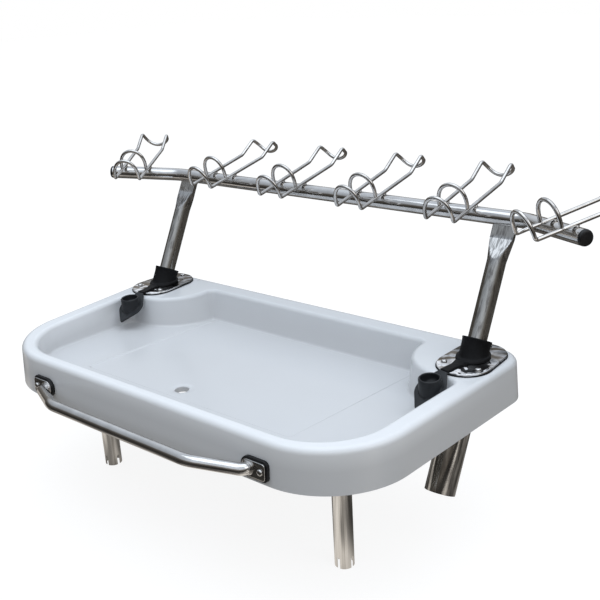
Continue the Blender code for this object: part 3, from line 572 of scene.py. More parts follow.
def bar(radius, low, high, steps=48, edge=0.0):
    bm = bmesh.new()
    bmesh.ops.create_cone(bm, cap_ends=True, segments=steps, radius1=radius, radius2=radius, depth=high - low)
    bmesh.ops.translate(bm, verts=bm.verts, vec=(0, 0, (low + high) / 2))
    if edge:
        roundEdges(bm, [e for e in bm.edges if abs(e.verts[0].co.z - e.verts[1].co.z) < 1e-7], edge, 2)
    return bm


def screwHoles(spots, place, low=-0.02, high=0.02, steps=24):
    radius = places["screwHole"]
    return [helper(bar(radius, low, high, steps), "screwHole", place @ moved(x, y)) for x, y in spots]


def block(size, centre):
    bm = bmesh.new()
    bmesh.ops.create_cube(bm, size=1.0)
    bmesh.ops.scale(bm, verts=bm.verts, vec=size)
    bmesh.ops.translate(bm, verts=bm.verts, vec=centre)
    return bm


def slotBlock(size, top, axis, share):
    # cuts a slot with rounded upper corners; the share of its width is the rounding
    bm = block(size, (0, 0, top - size[2] / 2))
    upper = [e for e in bm.edges if all(v.co.z > top - 0.001 for v in e.verts)]
    ends = [e for e in upper if abs(e.verts[0].co[axis] - e.verts[1].co[axis]) < 1e-6]
    roundEdges(bm, ends, size[axis] * share, 5)
    return bm


def spun(profile, steps=48, closed=False):
    # a full spin of (radius, height) points about Z
    bm = bmesh.new()
    verts = [bm.verts.new((radius, 0.0, height)) for radius, height in profile]
    edges = [bm.edges.new(pair) for pair in zip(verts, verts[1:])]
    if closed:
        edges.append(bm.edges.new((verts[-1], verts[0])))
    bmesh.ops.spin(
        bm, geom=verts + edges, cent=(0, 0, 0), axis=(0, 0, 1), angle=tau, steps=steps, use_merge=True
    )
    bmesh.ops.remove_doubles(bm, verts=bm.verts, dist=0.000005)
    bmesh.ops.recalc_face_normals(bm, faces=bm.faces)
    return bm


def tiltRings(bm, low, high):
    # between these heights the rings of a leaning piece lie level with what it leans through
    for vert in bm.verts:
        if low < vert.co.z < high:
            vert.co.z = vert.co.z / cos(lean) + vert.co.y * tan(lean)


def bentPath(corners, radii, steps, closed=False):
    # the line through the corners, with each corner bent to its radius
    points = [Vector(corner) for corner in corners]
    count = len(points)
    line = []
    for i, (point, radius) in enumerate(zip(points, radii)):
        if radius == 0 or (not closed and i in (0, count - 1)):
            line.append(point)
            continue
        toLast = (points[i - 1] - point).normalized()
        toNext = (points[(i + 1) % count] - point).normalized()
        angle = toLast.angle(toNext)
        centre = point + (toLast + toNext).normalized() * (radius / sin(angle / 2))
        first = point + toLast * (radius / tan(angle / 2)) - centre
        axis = toNext.cross(toLast)
        line += [centre + Matrix.Rotation((pi - angle) * k / steps, 3, axis) @ first for k in range(steps + 1)]
    return line


def rod(line, radius, place, closed=False, fineness=5, wall=0.0):
    # round wire or tube along a line; the curve is made a mesh before it is set in its place
    curve = bpy.data.curves.new("line", "CURVE")
    curve.dimensions = "3D"
    curve.bevel_depth = radius
    curve.bevel_resolution = fineness
    curve.use_fill_caps = not closed and not wall
    spline = curve.splines.new("POLY")
    spline.points.add(len(line) - 1)
    for point, spot in zip(spline.points, line):
        point.co = (*spot, 1.0)
    spline.use_cyclic_u = closed
    drawn = placed(curve, "line")
    bpy.context.view_layer.update()
    data = bpy.data.meshes.new_from_object(drawn.evaluated_get(bpy.context.evaluated_depsgraph_get()))
    bpy.data.objects.remove(drawn)
    bpy.data.curves.remove(curve)
    bm = bmesh.new()
    bm.from_mesh(data)
    bpy.data.meshes.remove(data)
    bmesh.ops.remove_doubles(bm, verts=bm.verts, dist=0.000005)
    bmesh.ops.recalc_face_normals(bm, faces=bm.faces)
    if wall:
        bmesh.ops.solidify(bm, geom=bm.faces[:], thickness=wall)
        bmesh.ops.recalc_face_normals(bm, faces=bm.faces)
    setDown(bm, place)
    return bm


def weldBead(bm, centre, size, seed, along=(1, 0, 0)):
    # a small run of weld metal, flattened and a little uneven
    chance = random.Random(seed)
    bead = bmesh.new()
    bmesh.ops.create_icosphere(bead, subdivisions=3, radius=1.0)
    b = beadSet
    for vert in bead.verts:
        wave = b["ripple"] * sin(b["waves"] * vert.co.x + seed)
        vert.co *= 1.0 + wave + chance.uniform(-b["chance"], b["chance"])
    bmesh.ops.smooth_vert(
        bead, verts=bead.verts, factor=b["smoothing"], use_axis_x=True, use_axis_y=True, use_axis_z=True
    )
    bmesh.ops.scale(bead, verts=bead.verts, vec=size)
    turn = Vector((1, 0, 0)).rotation_difference(Vector(along).normalized()).to_matrix().to_4x4()
    setDown(bead, Matrix.Translation(centre) @ turn)
    data = meshOf(bead, "bead")
    bm.from_mesh(data)
    bpy.data.meshes.remove(data)


print("steps ready")


# moulded tray
traySet = {
    "backWidth": 0.870,
    "frontWidth": 0.808,
    "depth": 0.470,
    "skirt": 0.070,
    "flare": radians(3.0),
    "wall": 0.005,
    "frontCorner": 0.143,
    "backCorner": 0.050,
    "rimRound": 0.010,
    "rimSide": 0.036,
    "rimFront": 0.026,
    "rimBack": 0.044,
    "lip": 0.008,
    "wallLean": 0.0052,  # the well's walls come in by this much on their way down
    "floorRound": 0.0052,
    "wellFrontCorner": 0.110,
    "innerCorner": 0.0170,
    "notchCorner": 0.0125,
    "padInner": 0.260,
    "padFront": -0.153,
    "padCorner": 0.095,
    "floorFront": 0.042,
    "floorBack": 0.0635,
    "panelStep": 0.0030,
    # the panel's edge on its way down: share of the step, share of its width
    "panelEdge": ((0.12, 0.0007), (0.36, 0.0010), (0.36, 0.0010), (0.16, 0.0008)),
    "panelInset": 0.004,
    "panelFront": -0.381,
    "panelFrontEnds": (-0.252, 0.234),  # the panel sits a little to the left of the middle
    "panelCorner": 0.010,
    "flatBand": 0.0012,  # narrow level strip on either side of the step, keeps its shading flat
    "edgeBand": 0.0015,  # the same along the rim, the lip and the floor
    "drain": (-0.038, -0.345),
    "drainRadius": 0.0125,
    "drainDish": 0.026,
    "drainSteps": 56,
    "dishBand": 0.003,
    "dishBite": 0.0014,
    "dishDrops": (0.0, 0.0002, 0.0009),
    "collarWall": 0.0031,  # the moulded collar under the drain
    "collarLow": -0.0610,
    "collarEdge": 0.0008,
    "collarClear": 0.0004,
    "collarRise": 0.8,  # collar and bosses reach this share of the wall up into the floor
    "bossRise": 0.75,
    "bossRadius": 0.046,
    "bossFace": -0.0615,
    "bossEdge": 0.0012,
    "tubeRadius": 0.0264,
    "roundSteps": 6,
    "sink": 0.001,  # the lip's last step, straight down
}


def floorDepth(y):
    t = traySet
    low, high = t["rimFront"] - t["depth"], -t["rimBack"]
    return t["floorFront"] + (t["floorBack"] - t["floorFront"]) * (y - low) / (high - low)


def wellCorners(grow):
    t = traySet

    def rimInner(y):
        return t["backWidth"] / 2 + (t["backWidth"] - t["frontWidth"]) / 2 * y / t["depth"] - t["rimSide"]

    low = t["rimFront"] - t["depth"]
    right = [
        (t["padInner"] + grow, grow - t["rimBack"], t["notchCorner"] + grow, 6),
        (t["padInner"] + grow, t["padFront"] + grow, t["padCorner"] - grow, 20),
        (rimInner(t["padFront"]) + grow, t["padFront"] + grow, t["innerCorner"] + grow, 6),
        (rimInner(low) + grow, low - grow, t["wellFrontCorner"] + grow, 20),
    ]
    return [(-x, y, radius, steps) for x, y, radius, steps in right] + right[::-1]


def panelSink(y):
    # the panel lies lowest at its front edge and comes level with the floor at its back edge
    t = traySet
    back = -t["rimBack"] - t["panelInset"]
    return t["panelStep"] * min(1.0, max(0.0, (back - y) / (back - t["panelFront"])))


def panelCorners():
    t = traySet
    inset = t["wallLean"] + t["floorRound"] + t["panelInset"] - t["flatBand"]
    back, side = -t["rimBack"] - inset, t["padInner"] - inset
    left, right = t["panelFrontEnds"]
    ends = [(-side, back), (left, t["panelFront"]), (right, t["panelFront"]), (side, back)]
    return [(x, y, t["panelCorner"], 6) for x, y in ends]


def dropFace(bm, face):
    # takes the face away and hands back the edges that ran round it
    edges = list(face.edges)
    bmesh.ops.delete(bm, geom=[face], context="FACES_ONLY")
    return edges


def fillBetween(bm, loops):
    bmesh.ops.triangle_fill(bm, use_beauty=True, use_dissolve=False, edges=loops)


def islandOf(edges):
    # every vertex that hangs together with these edges
    found = {vert for edge in edges for vert in edge.verts}
    spread = set(found)
    while spread:
        spread = {e.other_vert(v) for v in spread for e in v.link_edges} - found
        found |= spread
    return found


def drainRing(bm, radius):
    t = traySet
    verts = bmesh.ops.create_circle(bm, cap_ends=True, segments=t["drainSteps"], radius=radius)["verts"]
    bmesh.ops.translate(bm, verts=verts, vec=(*t["drain"], 0))
    return upward(bm, verts[0].link_faces[0])


def sinkDish(bm, face):
    # from the dish's rim by two narrow bands and a slope down to the rounded mouth of the hole
    t = traySet
    band, bite = t["dishBand"], t["dishBite"]
    slope = t["drainDish"] - t["drainRadius"] - 2 * band - bite
    for inset, drop in zip((band, band, slope), t["dishDrops"]):
        stepIn(bm, face, inset, drop)
    roundOver(bm, face, bite, 4)


def trayShell():
    # skirt, rim and well as one skin, which then gets its thickness
    t = traySet
    bm = bmesh.new()
    half, front = t["backWidth"] / 2, t["frontWidth"] / 2
    outer = roundedFace(bm, [
        (half, 0.0, t["backCorner"], 14),
        (-half, 0.0, t["backCorner"], 14),
        (-front, -t["depth"], t["frontCorner"], 26),
        (front, -t["depth"], t["frontCorner"], 26),
    ])
    bmesh.ops.translate(bm, verts=bm.verts, vec=(0, 0, -t["rimRound"]))
    drop = t["skirt"] - t["rimRound"]
    out = tan(t["flare"]) * drop
    skirt = bmesh.ops.extrude_edge_only(bm, edges=list(outer.edges))["geom"]
    skirt = [item for item in skirt if isinstance(item, bmesh.types.BMVert)]
    bmesh.ops.translate(bm, verts=skirt, vec=(0, 0, -drop))
    middle = moved(0, t["depth"] / 2)
    bmesh.ops.scale(bm, verts=skirt, vec=((half + out) / half, 1 + 2 * out / t["depth"], 1), space=middle)
    roundInto(bm, outer, t["rimRound"], t["roundSteps"], -1.0)
    stepIn(bm, outer, t["edgeBand"], 0.0)
    rimLoop = dropFace(bm, outer)
    outside = set(bm.verts)
    # the well, from its lip down to its floor
    known = openEdges(bm)
    well = roundedFace(bm, wellCorners(t["lip"] + t["edgeBand"]))
    stepIn(bm, well, t["edgeBand"], 0.0)
    lipLoop = openEdges(bm, known)
    deep = (t["floorFront"] + t["floorBack"]) / 2
    roundOver(bm, well, t["lip"], t["roundSteps"])
    stepIn(bm, well, 0.0, t["sink"])
    stepIn(bm, well, t["wallLean"], deep - t["lip"] - t["floorRound"] - t["sink"])
    roundInto(bm, well, t["floorRound"], t["roundSteps"])
    stepIn(bm, well, t["edgeBand"], 0.0)
    for vert in set(bm.verts) - outside:
        below = vert.co.z + t["lip"]
        if below < -t["sink"] / 2:
            vert.co.z = -t["lip"] + below * (floorDepth(vert.co.y) - t["lip"]) / (deep - t["lip"])
    fillBetween(bm, rimLoop + lipLoop)
    bmesh.ops.recalc_face_normals(bm, faces=bm.faces)
    if well.normal.z < 0:
        bmesh.ops.reverse_faces(bm, faces=bm.faces)
    tray = helper(bm, "mouldedTray")
    shell = tray.modifiers.new("shell", "SOLIDIFY")
    shell.thickness = t["wall"]
    shell.offset = -1.0
    shell.use_quality_normals = True
    settle(tray)
    return tray


def layFloor(tray):
    # the floor and its underside are the two broadest faces; both are filled again round the drain
    t = traySet
    bm = bmesh.new()
    bm.from_mesh(tray.data)
    broad = sorted(bm.faces, key=lambda face: face.calc_area())[-2:]
    floor, under = sorted(broad, key=lambda face: face.calc_center_median().z, reverse=True)
    floorLoop = dropFace(bm, floor)
    known = openEdges(bm)
    panel = roundedFace(bm, panelCorners())
    stepIn(bm, panel, t["flatBand"], 0.0)
    for share, inset in t["panelEdge"]:
        stepIn(bm, panel, inset, share)  # the depth is a share here, and is turned into metres below
    stepIn(bm, panel, t["flatBand"], 0.0)
    panelRim = openEdges(bm, known)
    for vert in islandOf(panelRim):
        vert.co.z = vert.co.z * panelSink(vert.co.y) - floorDepth(vert.co.y)
    fillBetween(bm, floorLoop + panelRim)
    panelLoop = dropFace(bm, panel)
    known = openEdges(bm)
    mouth = drainRing(bm, t["drainDish"])
    sinkDish(bm, mouth)
    dishRim = openEdges(bm, known)
    mouth = dropFace(bm, mouth)
    for vert in islandOf(dishRim):
        vert.co.z -= floorDepth(vert.co.y) + panelSink(vert.co.y)
    fillBetween(bm, panelLoop + dishRim)
    underLoop = dropFace(bm, under)
    belowRim = dropFace(bm, drainRing(bm, t["drainRadius"]))
    for vert in {v for edge in belowRim for v in edge.verts}:
        vert.co.z -= floorDepth(vert.co.y) + t["wall"]
    fillBetween(bm, underLoop + belowRim)
    bmesh.ops.bridge_loops(bm, edges=mouth + belowRim)
    bmesh.ops.recalc_face_normals(bm, faces=bm.faces)
    bm.to_mesh(tray.data)
    bm.free()


def makeTray():
    t = traySet
    tray = trayShell()
    layFloor(tray)
    # a collar under the drain and a boss over each leg, both let into the floor from below
    wall, low, edge = t["collarWall"], t["collarLow"], t["collarEdge"]
    inner = t["drainRadius"] + t["collarClear"]
    outer, high = inner + wall, -floorDepth(t["drain"][1]) - t["wall"] * t["collarRise"]
    ring = [(inner, high), (inner, low), (outer - edge, low), (outer, low + edge), (outer, high)]
    bosses = [helper(spun(ring, t["drainSteps"], True), "drainCollar", moved(*t["drain"]))]
    cuts = []
    legY = -places["legSetback"]
    bossTop = -floorDepth(legY) - t["wall"] * t["bossRise"]
    for side, sign in sides:
        boss = bar(t["bossRadius"], t["bossFace"], bossTop, 64, t["bossEdge"])
        bosses.append(helper(boss, "legBoss", moved(sign * places["legX"], legY)))
        hole = bar(t["tubeRadius"], -through, through, 56)
        cuts.append(helper(hole, "tubeHole", trayPlace.inverted() @ leanPlace[side]))
        cuts += screwHoles(places["flangeScrews"], moved(sign * places["holderX"], places["holderY"]), steps=16)
    combine(tray, bosses, "UNION")
    combine(tray, cuts, "DIFFERENCE")
    tray.data.transform(trayPlace)
    finishPiece(tray, "board", "tray", sharp=42)
    print("tray made:", len(tray.data.polygons), "faces")


makeTray()


# rod holders: flange, leaning tube, gasket, cross pin and fasteners
holderSet = {
    "tubeRadius": 0.0254,
    "tubeWall": 0.0016,
    "tubeEdge": 0.0003,
    "reach": 0.220,
    "halfWidth": 0.048,
    "halfLength": 0.069,
    "backShare": 0.86,
    "backRound": 0.97,
    "frontRound": 0.95,
    "flangeLow": 0.0022,
    "edge": 0.0012,
    "gasketLow": 0.0003,
    "gasketRim": 0.0014,
    "gasketEdge": 0.0005,
    "pinRadius": 0.0032,
    "pinHalf": 0.025,
    "pinEdge": 0.0006,
    "pinAlong": -0.205,
    "screwTurn": 0.7,
    "steps": 64,
}

screwSet = {
    "shankRadius": 0.0025,
    "headRadius": 0.0050,
    "headHeight": 0.0032,
    "headEdge": 0.0002,
    "upright": 0.22,  # share of the head's height below its dome
    "crown": 0.8,
    "edge": 0.0006,
    "recess": (0.0058, 0.0011, 0.0032),
    "recessTaper": (0.45, 0.55, 1.0),
    "recessTurn": 0.4,
    "nutAcross": 0.0080,
    "nutHeight": 0.0040,
    "chamfer": 0.58,
    "nutPlace": -0.0093,  # the nut's upper face on a flange screw, behind the skin
    "shank": 0.0105,  # below the plate that the screw holds
}


def flangeCorners(grow=0.0):
    h = holderSet
    wide, long = h["halfWidth"] + grow, h["halfLength"] + grow
    back = h["halfWidth"] * h["backShare"] + grow
    return [
        (back, long, back * h["backRound"], 16),
        (-back, long, back * h["backRound"], 16),
        (-wide, -long, wide * h["frontRound"], 16),
        (wide, -long, wide * h["frontRound"], 16),
    ]


def meshLeft(piece):
    # the shape alone, for copies
    data = piece.data
    bpy.data.objects.remove(piece)
    return data


def panScrew(shank):
    # domed head with a cross recess; local zero is under the head
    s = screwSet
    head, high, r, edge = s["headRadius"], s["headHeight"], s["shankRadius"], s["edge"]
    profile = [(0.0, high)]
    for k in range(1, 7):
        a = quarter * k / 6
        profile.append((head * sin(a) ** s["crown"], high * (s["upright"] + (1 - s["upright"]) * cos(a))))
    profile += [(head, s["headEdge"]), (head - s["headEdge"], 0.0), (r, 0.0)]
    profile += [(r, -shank + edge), (r - edge, -shank), (0.0, -shank)]
    screw = helper(spun(profile, 32), "screwBody")
    arms = []
    for k in range(2):
        arm = block(s["recess"], (0, 0, high))
        bmesh.ops.scale(arm, verts=[v for v in arm.verts if v.co.z < high], vec=s["recessTaper"])
        arms.append(helper(arm, "recessArm", turned(quarter * k + s["recessTurn"], "Z")))
    combine(screw, arms, "DIFFERENCE")
    return meshLeft(screw)


def hexNut():
    # chamfered nut that stands on local zero
    s = screwSet
    flat, high = s["nutAcross"] / 2, s["nutHeight"]
    across = flat / cos(radians(30))
    nut = helper(bar(across, 0.0, high, 6), "nutBody")
    drop = (across - flat) * s["chamfer"]
    chamfer = spun([(0, 0), (flat, 0), (across, drop), (across, high - drop), (flat, high), (0, high)], 48)
    combine(nut, [helper(chamfer, "nutChamfer")], "INTERSECT")
    combine(nut, [helper(bar(s["shankRadius"] + gap, -0.01, 0.01, 32), "nutBore")], "DIFFERENCE")
    return meshLeft(nut)


def setFastener(data, matrix, node):
    piece = placed(data.copy(), pieceName(node))
    piece.data.transform(matrix)
    finishPiece(piece, "board", node, sharp=30)


def makeHolder(side, sign):
    h = holderSet
    flat, leaning, steps, top = flatPlace[side], leanPlace[side], h["steps"], places["flangeTop"]
    tube = bar(h["tubeRadius"], -h["reach"], 0.03, steps, h["tubeEdge"])
    setDown(tube, leaning)
    # the tube ends level with the middle of the flange
    bmesh.ops.bisect_plane(
        tube, geom=tube.verts[:] + tube.edges[:] + tube.faces[:],
        plane_co=flat @ Vector((0, 0, (h["flangeLow"] + top) / 2)), plane_no=(0, 0, 1), clear_outer=True,
    )
    closeOpen(tube)
    across = leaning @ moved(0, 0, h["pinAlong"]) @ turned(quarter, "X")
    cuts = [
        helper(bar(h["tubeRadius"] - h["tubeWall"], -h["reach"] - 0.02, 0.06, steps), "bore", leaning),
        helper(bar(h["pinRadius"] + gap, -through, through, 24), "pinHole", across),
    ]
    cuts += screwHoles(places["flangeScrews"], flat)
    flange, adds = plate(flangeCorners(), h["flangeLow"], top, h["edge"], 4), [helper(tube, "holderTube")]
    makePiece(flange, "board", side + "_rod_holder", flat, adds, cuts, finish="plateSteel", sharp=35)
    gasket = plate(flangeCorners(h["gasketRim"]), h["gasketLow"], places["gasketTop"], h["gasketEdge"])
    opening = helper(bar(h["tubeRadius"] + gap, -through, through, steps), "gasketOpening", leaning)
    cuts = [opening] + screwHoles(places["flangeScrews"], flat)
    makePiece(gasket, "board", side + "_holder_gasket", flat, cuts=cuts)
    pin = bar(h["pinRadius"], -h["pinHalf"], h["pinHalf"], 24, h["pinEdge"])
    makePiece(pin, "board", side + "_holder_pin", across)
    screw, nut = panScrew(top + screwSet["shank"]), hexNut()
    for number, (x, y) in enumerate(places["flangeScrews"], 1):
        turn = turned(h["screwTurn"] * number + sign, "Z")
        setFastener(screw, flat @ moved(x, y, top + gap) @ turn, f"{side}_flange_screw_{number}")
        setFastener(nut, flat @ moved(x, y, screwSet["nutPlace"]) @ turn, f"{side}_flange_nut_{number}")


# rubber sleeves and their hanging caps
sleeveSet = {
    "bore": 0.0162,
    "fitRadius": 0.0235,
    "radius": 0.0240,
    "flare": 0.0008,  # the mouth stands out a little
    "rise": 0.0365,
    "drop": 0.190,
    "collarRadius": 0.0278,
    "collarHeight": 0.0045,
    "levelTop": 0.0150,  # up to here the sleeve lies level with the flange, not square to the tube
    "strapHalf": 0.0075,
    "strapRoot": 0.0130,
    "strapNeck": 0.018,
    "strapThick": 0.0030,
    "strapEdge": 0.0007,
    "reach": 0.0705,
    "turn": radians(8.5),
    "barrel": 0.0018,
    "hingeHeight": 0.0069,
}

capSet = {
    "droop": radians(30.92),
    "thick": 0.0040,
    "edge": 0.0012,
    "neckHalf": 0.0075,
    "neckStart": -0.0024,
    "shoulderX": 0.03243,
    "shoulderY": -0.04162,
    "discRadius": 0.0265,
    "centre": -0.040,
    "tip": -0.0829,
    "tipRound": 0.0035,
    "plugRadius": 0.0185,
    "plugBore": 0.0150,
    "plugHeight": 0.0205,
    "levelTop": 0.010,  # up to here the plug lies level with the lid
}


def strapEnd(side, sign):
    # where the strap ends and the cap begins
    s = sleeveSet
    return flatPlace[side] @ turned(-s["turn"] * sign, "Z") @ moved(0, -s["reach"], s["hingeHeight"])


def makeSleeve(side, sign):
    s = sleeveSet
    seat, fit, c, r = places["flangeTop"] + gap, s["fitRadius"], s["collarRadius"], s["radius"]
    b, top = s["bore"], s["rise"]
    collar, mouth = seat + s["collarHeight"], r + s["flare"]
    bm = spun([
        (fit, seat), (c - 0.0006, seat), (c, seat + 0.0006),
        (c, collar - 0.0016), (c - 0.0005, collar - 0.0006), (c - 0.0016, collar),
        (r + 0.0016, collar + 0.0003), (r + 0.0004, collar + 0.0010), (r - 0.0001, collar + 0.0024),
        (r - 0.0002, 0.0250), (r + s["flare"] * 0.4, 0.0330),
        (mouth, top - 0.0022), (mouth, top - 0.0006), (mouth - 0.0006, top), (b + 0.0010, top),
        (b, top - 0.0010), (b, -s["drop"]), (fit, -s["drop"]), (fit, -0.040),
    ], 64, True)
    tiltRings(bm, -0.001, s["levelTop"])
    half, near = s["strapHalf"], -(c + r) / 2
    neck = near - s["strapNeck"]
    right = [(s["strapRoot"], near, 0.0012, 4), (half, neck, 0.012, 8), (half, -s["reach"], 0.0012, 4)]
    left = [(-x, y, radius, steps) for x, y, radius, steps in right]
    outline = [right[0]] + left + right[:0:-1]
    strap = plate(outline, seat + 0.0001, seat + s["strapThick"], s["strapEdge"])
    barrel = bar(s["barrel"], -half, half, 20, 0.0005)
    adds = [
        helper(strap, "strap", flatPlace[side] @ turned(-s["turn"] * sign, "Z")),
        helper(barrel, "barrel", strapEnd(side, sign) @ turned(quarter, "Y")),
    ]
    makePiece(bm, "board", side + "_holder_sleeve", leanPlace[side], adds, sharp=45)


def makeCap(side, sign):
    c = capSet
    place = strapEnd(side, sign) @ turned(c["droop"], "X")
    half = c["thick"] / 2
    lid = plate([
        (c["neckHalf"], c["neckStart"], 0.0018, 5),
        (-c["neckHalf"], c["neckStart"], 0.0018, 5),
        (-c["shoulderX"], c["shoulderY"], c["discRadius"], 24),
        (0.0, c["tip"], c["tipRound"], 8),
        (c["shoulderX"], c["shoulderY"], c["discRadius"], 24),
    ], -half, half, c["edge"], 4, True)
    r, b, high = c["plugRadius"], c["plugBore"], c["plugHeight"]
    floor = half + 0.0005
    plug = spun([
        (0.0, 0.0), (r + 0.0012, 0.0), (r + 0.0012, half), (r + 0.0003, half + 0.0008), (r, half + 0.0022),
        (r + 0.0001, high - 0.0018), (r - 0.0005, high - 0.0006), (r - 0.0012, high),
        (b + 0.0010, high), (b + 0.0002, high - 0.0006), (b, high - 0.0015), (b - 0.0004, floor + 0.0024),
        (b - 0.0018, floor + 0.0006), (b - 0.0040, floor), (0.0, floor),
    ], 56)
    tiltRings(plug, -1.0, c["levelTop"])
    plug = helper(plug, "plug", place @ moved(0, c["centre"]) @ turned(-lean, "X"))
    makePiece(lid, side + "_cap", side + "_holder_cap", place, [plug], finish="capRubber", sharp=45)


for side, sign in sides:
    makeHolder(side, sign)
    makeSleeve(side, sign)
    makeCap(side, sign)
print("rod holders, sleeves and caps made")


# rack: two posts, the rail with its end plugs, six rod rests
postSet = {
    "radius": 0.0159,
    "wall": 0.0016,
    "edge": 0.0006,
    "low": -0.2145,
    "boreTop": 0.148,
    "roundTop": 0.168,
    "tabStart": 0.206,
    "tabTop": 0.22709,
    "tabHalfWidth": 0.0212,
    "tabHalfThick": 0.0042,
    "levels": 16,
    "slot": (0.0074, 0.06, 0.08),
    "slotTop": -0.2015,
    "slotRound": 0.45,
}

railSet = {
    "y": places["holderY"] + 0.2135 * tan(lean),
    "z": 0.2135,
    "radius": 0.0132,
    "wall": 0.0016,
    "cornerX": 0.405,
    "endAngle": radians(30),
    "endLength": 0.149,
    "endRise": 0.0085,
    "bend": 0.060,
    "plugHead": 0.006,
    "plugRadius": 0.0128,
    "plugShank": 0.018,
    "postBead": (0.01696, 0.0016, 0.0015),
    "beadOut": 0.0002,
    "beadUp": 0.0006,
}

restSet = {
    "wire": 0.0034,
    "pitch": 0.1848,
    "shift": 0.008,
    "frontHalf": 0.0262,
    "backHalf": 0.0285,
    "onEnd": 0.098,
    "armRise": radians(12),
    "armFront": 0.070,
    "armBack": 0.086,
    "armBends": [0.005, 0.018, 0.007],
    "kickRise": radians(35),
    "kickLength": 0.045,
    "saddleBack": 0.020,
    "saddleDrop": 0.026,
    "frontHeight": 0.043,
    "frontLean": radians(20),
    "hoopSetback": 0.026,
    "hoopHeight": 0.037,
    "hoopLean": radians(15),
    "archSteps": 22,
    "archFullness": 0.8,
    "saddleFullness": 2.1,
    "railBead": (0.0044, 0.0030, 0.0016),
    "railBeadShift": (0.0008, 0.0006),
    "railBeadDrop": 0.95,  # in wire radii below the middle of the arm
    "hoopBead": (0.0044, 0.0034, 0.00208),
    "hoopBeadBack": 0.0010,
    "hoopBeadDrop": 0.55,
}


def makePost(side):
    p = postSet
    r, edge = p["radius"], p["edge"]
    top, start, low = p["tabTop"], p["tabStart"], p["low"]
    line = [(0.0, top), (r - edge, top), (r, top - edge)]
    line += [(r, top - edge + (start - top + edge) * k / 4) for k in range(1, 4)] + [(r, start + 0.0012)]
    line += [(r, start + (p["roundTop"] - start) * k / p["levels"]) for k in range(p["levels"] + 1)]
    bore = r - p["wall"]
    line += [(r, low + edge), (r - edge, low), (bore, low), (bore, p["boreTop"]), (0.0, p["boreTop"])]
    bm = spun(line, 72)
    for vert in bm.verts:
        # pressed between two planes: the sides spread as the tube goes flat
        share = min(1.0, (vert.co.z - p["roundTop"]) / (start - p["roundTop"]))
        if share >= 0:
            limit = r + (p["tabHalfThick"] - r) * share
            vert.co.x *= 1 + (p["tabHalfWidth"] / r - 1) * share
            vert.co.y = max(-limit, min(limit, vert.co.y))
    place = leanPlace[side]
    slot = helper(slotBlock(p["slot"], p["slotTop"], 0, p["slotRound"]), "postSlot", place)
    makePiece(bm, "rack", side + "_rack_post", place, cuts=[slot], finish="postSteel", sharp=24)


def railCorner():
    return Vector((railSet["cornerX"], railSet["y"], railSet["z"]))


def railEnd():
    r = railSet
    reach = r["endLength"]
    return railCorner() + Vector((reach * cos(r["endAngle"]), -reach * sin(r["endAngle"]), r["endRise"]))


def makeRail():
    r, p = railSet, postSet
    end, corner = railEnd(), railCorner()
    mirror = Matrix.Scale(-1, 4, (1, 0, 0))
    line = bentPath([mirror @ end, mirror @ corner, corner, end], [0, r["bend"], r["bend"], 0], 18)
    bm = rod(line, r["radius"], trayPlace, False, 18, r["wall"])
    for side, sign in sides:
        # weld between the rail and the post's pressed top
        for front in (-1, 1):
            spot = Vector((0, front * (p["tabHalfThick"] + r["beadOut"]), p["tabTop"] + r["beadUp"]))
            weldBead(bm, leanPlace[side] @ spot, r["postBead"], 5 + front)
    makePiece(bm, "rack", "rack_rail", finish="railSteel", sharp=40)
    head, high, shank, low = r["plugRadius"], r["plugHead"], r["radius"] - r["wall"] - 0.0004, -r["plugShank"]
    for side, sign in sides:
        outward = end - corner
        outward.x *= sign
        plug = spun([
            (0.0, high), (head * 0.40, high - 0.0001), (head * 0.68, high - 0.0005),
            (head - 0.0018, high - 0.0011), (head - 0.0007, high - 0.0019), (head, high - 0.0033),
            (head, gap + 0.0004), (head - 0.0004, gap), (shank, gap), (shank, low + 0.001),
            (shank - 0.001, low), (shank - 0.003, low), (shank - 0.003, 0.0), (0.0, 0.0),
        ], 48)
        turn = outward.to_track_quat("Z", "Y").to_matrix().to_4x4()
        makePiece(plug, "rack", side + "_rail_plug", trayPlace @ moved(sign * end.x, end.y, end.z) @ turn)


def armHeight(y):
    # the arm lies on top of the rail and rises towards the back
    rise = restSet["armRise"]
    return (railSet["radius"] + restSet["wire"] + gap) / cos(rise) + y * tan(rise)


def armWidth(y):
    # half the distance between the arms, which close in a little towards the front
    t = restSet
    share = (y + t["armFront"]) / (t["armBack"] + t["armFront"])
    return t["frontHalf"] + (t["backHalf"] - t["frontHalf"]) * share


def archLine(half, footY, footZ, height, forward):
    # from the left foot over to the right foot
    line = []
    for k in range(restSet["archSteps"] + 1):
        a = pi * k / restSet["archSteps"]
        up = height * max(0.0, sin(a)) ** restSet["archFullness"]
        line.append((-half * cos(a), footY - up * sin(forward), footZ + up * cos(forward)))
    return line


